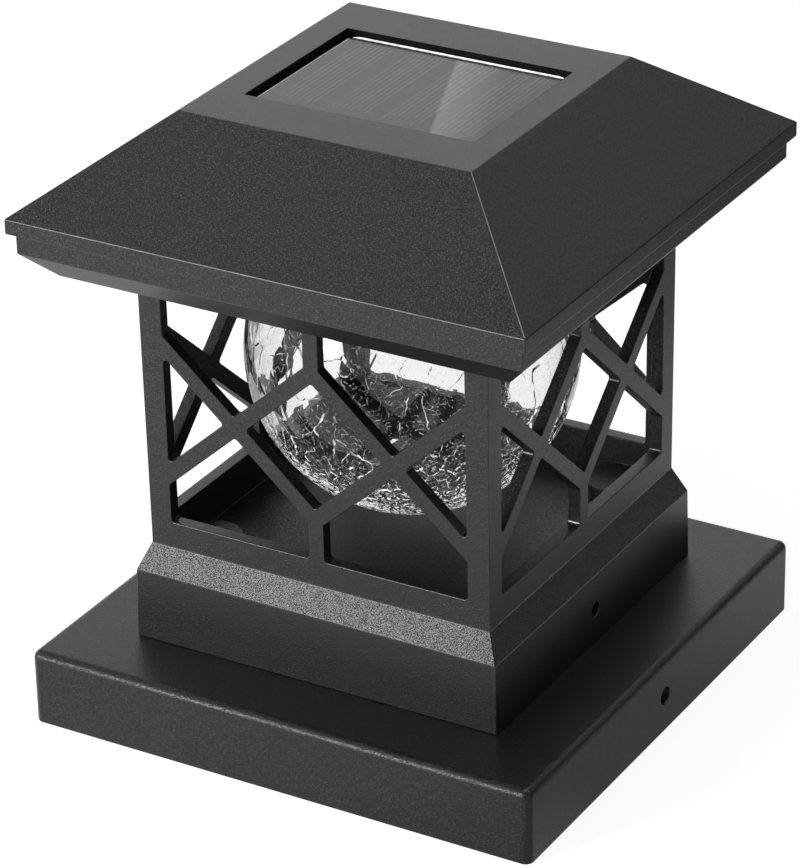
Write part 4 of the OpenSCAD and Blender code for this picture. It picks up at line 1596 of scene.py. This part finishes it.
@dataclass
class Globe(SubAssembly):
    """A globe of crackled glass that hangs by its neck, with the ring on top of it."""

    seed: int = 23
    sizes: GlobeSizes = GlobeSizes()

    def build(self) -> None:
        """Makes the glass, which casts hardly any shadow, its cracks and the ring."""
        glass = self._glass()
        glass.visible_shadow = False
        self.bench.hand_over(glass, Body.HEAD, Slot.GLASS, "crackle_globe")
        self.bench.hand_over(self._cracks(), Body.HEAD, Slot.GLASS)
        ring = [Finishes.silicone]
        self.bench.rounded("neck_seal", "neck_ring", Slot.SILICONE, ring, self.sizes.ring_edge, steps=3)

    def _profile(self) -> Profile:
        """Works out the section of the glass.

        Returns:
            Its points, from the lowest point outside round to the one inside.
        """
        s = self.sizes
        inner, bore = s.radius - s.glass, s.neck - s.glass
        out_end, in_end = (math.pi - math.asin(neck / r) for neck, r in ((s.neck, s.radius), (bore, inner)))
        outer = [out_end * i / s.steps_out for i in range(s.steps_out)]
        made = [(s.radius * math.sin(a), s.centre - s.radius * math.cos(a)) for a in outer]
        foot = s.centre - s.radius * math.cos(out_end)
        under_lip = s.neck_top - 2 * MM
        made += [(s.neck + 0.35 * MM, foot + 0.1 * MM), (s.neck, foot + 0.7 * MM), (s.neck, under_lip)]
        lip = [math.pi / 2 * i / 4 for i in range(5)]
        made += [(s.neck - s.lip * (1 - math.cos(a)), s.neck_top - s.lip * (1 - math.sin(a))) for a in lip]
        made += [(bore + s.lip * (1 - math.sin(a)), s.neck_top - s.lip * (1 - math.cos(a))) for a in lip]
        made += [(bore, under_lip), (bore, s.centre - inner * math.cos(in_end) + 0.6 * MM)]
        inside = [in_end * i / s.steps_in for i in range(s.steps_in, -1, -1)]
        return made + [(inner * math.sin(a), s.centre - inner * math.cos(a)) for a in inside]

    def _glass(self) -> bpy.types.Object:
        """Makes the glass, a little wavy inside and out.

        Returns:
            The glass.
        """
        s = self.sizes
        shape = Shape(soften=60.0).revolve(self._profile(), s.turns)
        centre = Vector((0, 0, s.centre))
        for vert in shape.bm.verts:
            away = vert.co - centre
            if away.z > s.neck_blend:
                continue
            fade = min(1.0, (s.neck_blend - away.z) / s.wave_fade)
            swell = noise.noise(away / s.wave_size) - 0.5
            vert.co = centre + away * (1 + fade * s.wave * swell / away.length)
        return shape.object("globe_glass", [Finishes.glass])

    def _lowness(self, z: float) -> float:
        """Returns 0 high up on the globe and 1 on its underside, for a height from -1 to 1."""
        return min(1.0, max(0.0, (self.sizes.low_from - z) / self.sizes.low_span))

    def _seeds(self) -> list[Vector]:
        """Strews points that the cells between the cracks grow from.

        Returns:
            Points on the unit globe: far apart and tall high up, close together low down.
        """
        s, rng = self.sizes, self.random
        kept, count = np.zeros((s.tries, 3)), 0
        for _ in range(s.tries):
            z = rng.uniform(-1, s.seeds_top if rng.random() < s.tries_all_over else s.seeds_low_top)
            turn, flat = rng.uniform(0, FULL_TURN), math.sqrt(1 - z * z)
            spot = np.array([flat * math.cos(turn), flat * math.sin(turn), z])
            upright = np.array([-z * math.cos(turn), -z * math.sin(turn), flat])
            low = self._lowness(z)
            gap = (s.cell_high + (s.cell_low - s.cell_high) * low) / s.radius
            tall = s.tall_high + (s.tall_low - s.tall_high) * low
            away = kept[:count] - spot
            rise = away @ upright
            reach = (away**2).sum(1) - rise**2 * (1 - 1 / tall**2)
            if count == 0 or reach.min() > gap * gap * s.crowding:
                kept[count] = spot
                count += 1
        return [Vector(p) for p in kept[:count]]

    def _lines(self) -> list[tuple[Vector, Vector]]:
        """Finds the borders between the seeds' cells.

        Returns:
            Each border as a pair of unit vectors.
        """
        bm = bmesh.new()
        for seed in self._seeds():
            bm.verts.new(seed)
        bmesh.ops.convex_hull(bm, input=bm.verts[:])
        bm.normal_update()
        corner = {}
        for face in bm.faces:
            out = face.normal.copy()
            if out.dot(face.calc_center_median()) < 0:
                out.negate()
            jitter = Vector([self.random.uniform(-1, 1) for _ in range(3)]) * self.sizes.jitter
            corner[face.index] = (out + jitter).normalized()
        bm.faces.index_update()
        borders = [edge.link_faces for edge in bm.edges if len(edge.link_faces) == 2]
        pairs = [tuple(corner[face.index] for face in border) for border in borders]
        bm.free()
        return pairs

    def _keeps(self, a: Vector, b: Vector) -> bool:
        """Says whether a crack runs along a border: high up, mostly the upright ones do.

        Args:
            a: One end of the border.
            b: Its other end.

        Returns:
            Whether there is a crack.
        """
        s, mid = self.sizes, (a + b).normalized()
        if mid.z > s.crack_free:
            return False
        rise = Vector((-mid.x * mid.z, -mid.y * mid.z, 1 - mid.z**2)).normalized()
        upright = abs((b - a).normalized().dot(rise))
        lost = (1 - self._lowness(mid.z)) * (s.lost_high - s.lost_upright * upright)
        return self.random.random() < s.kept - lost

    def _cracks(self) -> bpy.types.Object:
        """Makes the cracks: thin leaning walls inside the glass along the borders.

        Returns:
            The cracks.
        """
        s, rng = self.sizes, self.random
        points: list[Vector] = []
        faces: list[list[int]] = []
        centre = Vector((0, 0, s.centre))
        for a, b in self._lines():
            reach = (b - a).length
            if not s.shortest <= reach <= s.longest or not self._keeps(a, b):
                continue
            side = a.cross(b).normalized()
            low = self._lowness((a.z + b.z) / 2)
            steps = max(2, min(9, round(reach * s.radius / s.crack_step)))
            lean = math.tan(math.radians(rng.uniform(-s.lean, s.lean)))
            deep = (s.crack_high + (s.crack_low - s.crack_high) * low) * rng.uniform(0.6, 1.0)
            base = len(points)
            for i in range(steps + 1):
                t = i / steps
                stray = rng.uniform(-0.5, 0.5) * s.wobble * min(reach, 0.08) if 0 < i < steps else 0
                spot = (a.lerp(b, t) + side * stray).normalized()
                swell = 0.45 + 0.55 * math.sin(math.pi * (0.12 + 0.76 * t))
                depth = s.crack_top + (deep - s.crack_top) * swell
                tilt = lean * rng.uniform(0.6, 1.4)
                points.append(centre + spot * (s.radius - s.crack_top))
                points.append(centre + spot * (s.radius - depth) + side * (tilt * (depth - s.crack_top)))
            faces += [[k, k + 1, k + 3, k + 2] for k in range(base, base + 2 * steps, 2)]
        LOG.info("%d crack faces", len(faces))
        return Shape(soften=80.0).faces(points, faces).object("globe_cracks", [Finishes.crack])


# ------------------------------------------------------------------- electric


@dataclass(frozen=True)
class LampSizes:
    """The light unit under the ceiling of the well."""

    edge: float = 0.15 * MM
    rim: float = 0.5 * MM
    rim_step: float = 0.1 * MM
    dome: float = 0.93
    chip: float = 0.7 * MM
    cup: float = 1.0 * MM
    cup_floor: float = 0.8 * MM


@dataclass
class LampUnit(SubAssembly):
    """White lamp board, four lamps and the white reflector."""

    sizes: LampSizes = LampSizes()

    def build(self) -> None:
        """Makes board, reflector and lamps."""
        f, s, make = Finishes, self.sizes, self.bench.rounded
        make("led_board", "lamp_board", Slot.LAMP_BOARD, [f.white_board], s.edge)
        make("led_reflector", "lamp_reflector", Slot.REFLECTOR, [f.reflector], s.edge)
        self._lamps()

    def _lamps(self) -> None:
        """Makes the lamps: a clear dome over a yellow chip in a cup."""
        shape, s = Shape(), self.sizes
        for low, high in islands(self.bench.nodes["led_lamps"]):
            spot, radius = middle((low, high)), (high.x - low.x) / 2
            foot, slim = high.z - low.z - radius, radius * s.dome
            turn = Matrix.Translation((spot.x, spot.y, high.z)) @ Matrix.Rotation(math.pi, 4, "X")
            profile = [(0.0, 0.0), (radius * 0.98, 0.0), (radius, 0.15 * MM), (radius, s.rim)]
            profile += [(slim, s.rim + s.rim_step), (slim, foot)]
            profile += [(slim * math.cos(a), foot + radius * math.sin(a)) for a in (0.3, 0.6, 0.9, 1.2, 1.4)]
            shape.revolve(profile + [(0.0, foot + radius)], 32, turn)
            cup = [(0.0, s.rim), (s.chip, s.rim), (s.chip * 1.5, s.cup), (s.chip * 1.2, s.cup)]
            cup.append((0.0, s.cup_floor))
            shape.revolve(cup, 20, turn, paint=1)
        lamps = shape.object("lamp_domes", [Finishes.lamp, Finishes.phosphor])
        self.bench.hand_over(lamps, Body.HEAD, Slot.LAMP, "led_lamps")


@dataclass(frozen=True)
class BatterySizes:
    """The rechargeable cell and what holds it."""

    button_r: float = 2.75 * MM
    button_h: float = 1.3 * MM
    crimp: float = 0.35 * MM
    plate: float = 0.4 * MM
    plate_edge: float = 0.1 * MM
    wire: float = 0.35 * MM
    spring_big: float = 4.6 * MM
    spring_small: float = 2.6 * MM
    spring_turns: int = 4
    spring_steps: int = 24
    edge: float = 0.3 * MM


@dataclass
class BatteryPack(SubAssembly):
    """Holder, sleeved cell, coiled contact and flat contact."""

    sizes: BatterySizes = BatterySizes()

    def build(self) -> None:
        """Makes the holder, the cell and both contacts."""
        f, s, make = Finishes, self.sizes, self.bench.rounded
        make("battery_holder", "cell_holder", Slot.HOLDER, [f.holder], s.edge)
        make("battery_contact", "cell_contact", Slot.CONTACT, [f.nickel], s.plate_edge)
        self._cell()
        self._spring()

    def _cell(self) -> None:
        """Makes the cell: shrunk sleeve, crimped shoulder, ring and button."""
        s, (low, high) = self.sizes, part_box("battery_cell")
        radius, length, spot = (high.z - low.z) / 2, high.x - low.x, middle((low, high))
        can, waist = length - s.button_h, radius - s.crimp
        at = Matrix.Translation((low.x, spot.y, spot.z)) @ Matrix.Rotation(math.pi / 2, 4, "Y")
        sleeve = [(radius * 0.86, 0.0), (radius * 0.95, 0.0), (radius, 0.6 * MM), (radius, can - 3.4 * MM)]
        sleeve += [(waist, can - 2.8 * MM), (waist, can - 2.3 * MM), (radius, can - 1.7 * MM)]
        sleeve += [(radius, can - 0.5 * MM), (radius * 0.94, can), (radius * 0.78, can)]
        foot = [(0.0, 0.1 * MM), (radius * 0.86, 0.1 * MM), (radius * 0.86, 0.3 * MM)]
        top = [(radius * 0.78, can - 0.02 * MM), (radius * 0.5, can - 0.1 * MM), (s.button_r, can - 0.1 * MM)]
        top += [(s.button_r, length - 0.3 * MM), (s.button_r - 0.3 * MM, length), (0.0, length)]
        shape = Shape()
        for profile, paint in ((sleeve, 0), (foot, 1), (top, 1)):
            shape.revolve(profile, 48, at, paint)
        cell = shape.object("cell_sleeved", [Finishes.sleeve, Finishes.nickel])
        self.bench.hand_over(cell, Body.HEAD, Slot.SLEEVE, "battery_cell")

    def _spring(self) -> None:
        """Makes the coiled contact on its plate."""
        s, (low, high) = self.sizes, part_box("battery_spring")
        axis, path = middle((low, high)), []
        shape = Shape().block(low, Vector((low.x + s.plate, high.y, high.z)), s.plate_edge)
        run, steps = high.x - low.x - s.plate - 2 * s.wire, s.spring_turns * s.spring_steps
        for i in range(steps + 1):
            share, angle = i / steps, FULL_TURN * i / s.spring_steps
            r = s.spring_big + (s.spring_small - s.spring_big) * share
            x = low.x + s.plate + s.wire + run * share
            path.append(Vector((x, axis.y + r * math.cos(angle), axis.z + r * math.sin(angle))))
        spring = shape.tube(path, s.wire, 10).object("cell_spring", [Finishes.nickel])
        self.bench.hand_over(spring, Body.HEAD, Slot.CONTACT, "battery_spring")


@dataclass(frozen=True)
class ControlSizes:
    """Parts on the control board."""

    edge: float = 0.15 * MM
    body_edge: float = 0.12 * MM
    legs: int = 4
    leg: float = 0.4 * MM
    leg_r: float = 0.14 * MM
    leg_top: float = 0.8 * MM
    leg_foot: float = 0.18 * MM
    wire: float = 0.17 * MM
    wire_steps: int = 20
    neck: float = 2.4 * MM
    flange: float = 1.0 * MM
    chamfer: float = 0.1 * MM


@dataclass
class ControlUnit(SubAssembly):
    """Control board with its chip and its choke."""

    sizes: ControlSizes = ControlSizes()

    def build(self) -> None:
        """Makes the board, the chip and the choke."""
        board = [Finishes.green_board]
        self.bench.rounded("control_board", "control_laminate", Slot.BOARD, board, self.sizes.edge)
        self._chip()
        self._choke()

    def _chip(self) -> None:
        """Makes the chip with bent legs on two sides."""
        s, (low, high) = self.sizes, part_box("controller_chip")
        inset, leg_top = s.leg * 1.6, low.z + s.leg_top
        foot = Vector((low.x + inset, low.y, low.z + 0.15 * MM))
        shape = Shape().block(foot, Vector((high.x - inset, high.y, high.z)), s.body_edge)
        pitch = (high.y - low.y) / s.legs
        for i in range(s.legs):
            y = low.y + pitch * (i + 0.5)
            for side, edge in ((-1, low.x), (1, high.x)):
                x = edge - side * s.leg * 1.8
                bends = [(x, leg_top), (x + side * s.leg * 0.9, leg_top)]
                bends += [(x + side * s.leg * 1.1, low.z + s.leg_foot), (edge, low.z + s.leg_r)]
                shape.tube([Vector((out, y, z)) for out, z in bends], s.leg_r, 6, paint=1)
        chip = shape.object("control_chip", [Finishes.chip, Finishes.tin])
        self.bench.hand_over(chip, Body.HEAD, Slot.CHIP, "controller_chip")

    def _choke(self) -> None:
        """Makes the wound choke on its ferrite bobbin."""
        s, (low, high) = self.sizes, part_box("choke_coil")
        spot, radius, tall = middle((low, high)), (high.x - low.x) / 2, high.z - low.z
        at, rim, cut = Matrix.Translation((spot.x, spot.y, low.z)), radius - s.chamfer, s.chamfer
        profile = [(0.0, 0.0), (rim, 0.0), (radius, cut), (radius, s.flange - cut), (rim, s.flange)]
        profile += [(s.neck, s.flange), (s.neck, tall - s.flange), (rim, tall - s.flange)]
        profile += [(radius, tall - s.flange + cut), (radius, tall - cut), (rim, tall), (0.0, tall)]
        shape = Shape().revolve(profile, 40, at)
        room = tall - 2 * s.flange - 2 * s.wire
        steps = int(room / (2 * s.wire)) * s.wire_steps
        for layer in range(2):
            r = s.neck + s.wire * (1 + 1.8 * layer)
            path = []
            for i in range(steps + 1):
                angle, height = FULL_TURN * i / s.wire_steps, s.flange + s.wire + room * i / steps
                path.append(at @ Vector((r * math.cos(angle), r * math.sin(angle), height)))
            shape.tube(path, s.wire, 6, paint=1)
        choke = shape.object("control_choke", [Finishes.bobbin, Finishes.copper])
        self.bench.hand_over(choke, Body.HEAD, Slot.COIL, "choke_coil")


@dataclass
class SlideSwitch(SubAssembly):
    """Tinned switch case and the black slider that shows under the head."""

    edge: float = 0.15 * MM

    def build(self) -> None:
        """Makes the case and the slider."""
        f, make = Finishes, self.bench.rounded
        make("switch_case", "switch_tinned_case", Slot.SWITCH, [f.tin], self.edge)
        make("switch_slider", "switch_knob_moulded", Slot.SLIDER, [f.slider], self.edge, Body.KNOB)


@dataclass(frozen=True)
class LeadSizes:
    """Insulated leads inside the head."""

    radius: float = 0.7 * MM
    bare: float = 0.36 * MM
    gap: float = 2.6 * MM
    stub: float = 3.0 * MM
    strip: float = 0.9 * MM
    ceiling: float = 2.0 * MM
    well: float = 32.0 * MM
    inset: float = 3.4 * MM


@dataclass
class Leads(SubAssembly):
    """Pairs of leads from the panel, the cell and the lamps to the control board."""

    sizes: LeadSizes = LeadSizes()

    def __post_init__(self) -> None:
        """Notes where the control board lies and where the leads end on it."""
        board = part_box("control_board")
        self.board_low, self.board_x = board[0], middle(board).x
        self.top, self.end_y = board[1].z, board[1].y - self.sizes.inset - 2 * self.sizes.gap

    def build(self) -> None:
        """Makes the three pairs."""
        f = Finishes
        self._pair("panel_leads", "leads_panel", self._panel_routes(), (f.red, f.black), Slot.LEAD_RED)
        self._pair("battery_leads", "leads_cell", self._cell_routes(), (f.black, f.red), Slot.LEAD_BLACK)
        self._pair("led_leads", "leads_lamp", self._lamp_routes(), (f.white, f.white), Slot.LEAD_WHITE)

    def _route(
        self, start: Vector, leave: Vector, between: list[Vector], end: tuple[float, float]
    ) -> list[Vector]:
        """Draws a lead's line, which leaves both ends squarely.

        Args:
            start: Where it starts.
            leave: The way that it leaves its start.
            between: Places on its way.
            end: Where on the control board it ends, across and along.

        Returns:
            The line's points.
        """
        last = Vector((*end, self.top))
        bends = [start + leave * self.sizes.stub, *between, last + UP * self.sizes.stub]
        return [start, *smooth_route(bends), last]

    def _pair(
        self, node: str, name: str, routes: list[list[Vector]], jackets: tuple[Finish, Finish], slot: Slot
    ) -> None:
        """Makes one pair and hands it over.

        Args:
            node: The CAD node that it stands for.
            name: The piece's name.
            routes: Both middle lines.
            jackets: The insulation of each lead.
            slot: The record's slot.
        """
        shape, s = Shape(soften=50.0), self.sizes
        for number, route in enumerate(routes):
            first = route[0] + (route[1] - route[0]).normalized() * s.strip
            last = route[-1] + (route[-2] - route[-1]).normalized() * s.strip
            shape.tube([first, *route[1:-1], last], s.radius, 14, paint=number, taper=0.92)
            for end, inner in ((route[0], first), (route[-1], last)):
                shape.tube([end, end.lerp(inner, 0.5), inner], s.bare, 8, paint=2)
        piece = shape.object(name, [*jackets, Finishes.solder])
        self.bench.hand_over(piece, Body.HEAD, slot, node)

    def _panel_routes(self) -> list[list[Vector]]:
        """Draws the lines from the panel's backing down to the board.

        Returns:
            Both lines.
        """
        low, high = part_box("panel_board")
        start_x = (low.x + high.x) / 2 + (high.x - low.x) / 4
        made = []
        for y in (-self.sizes.gap, self.sizes.gap):
            between = [Vector((self.board_low.x, y, (low.z + self.board_low.z) / 2))]
            made.append(self._route(Vector((start_x, y, low.z)), -UP, between, (self.board_x, y)))
        return made

    def _cell_routes(self) -> list[list[Vector]]:
        """Draws the lines from the cell's contacts to the board.

        Returns:
            Both lines.
        """
        s, (low, high) = self.sizes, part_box("battery_holder")
        y, z = middle((low, high)).y, middle(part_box("battery_cell")).z
        front, length = low.y - 1.4 * s.gap, high.x - low.x - 3 * MM
        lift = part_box("led_board")[1].z + s.ceiling + s.gap
        near = [Vector((self.board_x, (y + self.end_y) / 2, z + s.gap))]
        far = [Vector((low.x - s.stub, front, z)), Vector((-length / 3, front, lift))]
        far.append(Vector((length / 4, front, lift)))
        right = Vector((1, 0, 0))
        return [
            self._route(Vector((high.x, y, z)), right, near, (self.board_x + s.gap, self.end_y)),
            self._route(Vector((low.x, y, z)), -right, far, (self.board_x - s.gap, self.end_y)),
        ]

    def _lamp_routes(self) -> list[list[Vector]]:
        """Draws the lines from the lamp board over the well to the board.

        Returns:
            Both lines.
        """
        s, start = self.sizes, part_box("led_board")[1].z
        lift, made = start + s.ceiling + s.gap, []
        for y in (-s.gap / 2, s.gap / 2):
            between = [Vector((s.stub, y, lift)), Vector((s.well, -self.end_y / 2 + y, lift))]
            made.append(self._route(Vector((0, y, start)), UP, between, (self.board_x, -self.end_y + y)))
        return made


# ----------------------------------------------------------------------- main


def main() -> None:
    """Builds the studio and every sub-assembly."""
    logging.basicConfig(level=logging.INFO, format="%(name)s: %(message)s")
    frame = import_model()
    bench = Bench(frame)
    Studio().build()
    inside = (LampUnit, BatteryPack, ControlUnit, SlideSwitch, Fasteners, Leads)
    for maker in (Housing, SolarPanel, Globe, *inside):
        maker(bench).build()
        LOG.info("%s is done", maker.__name__)


if __name__ == "__main__":
    main()
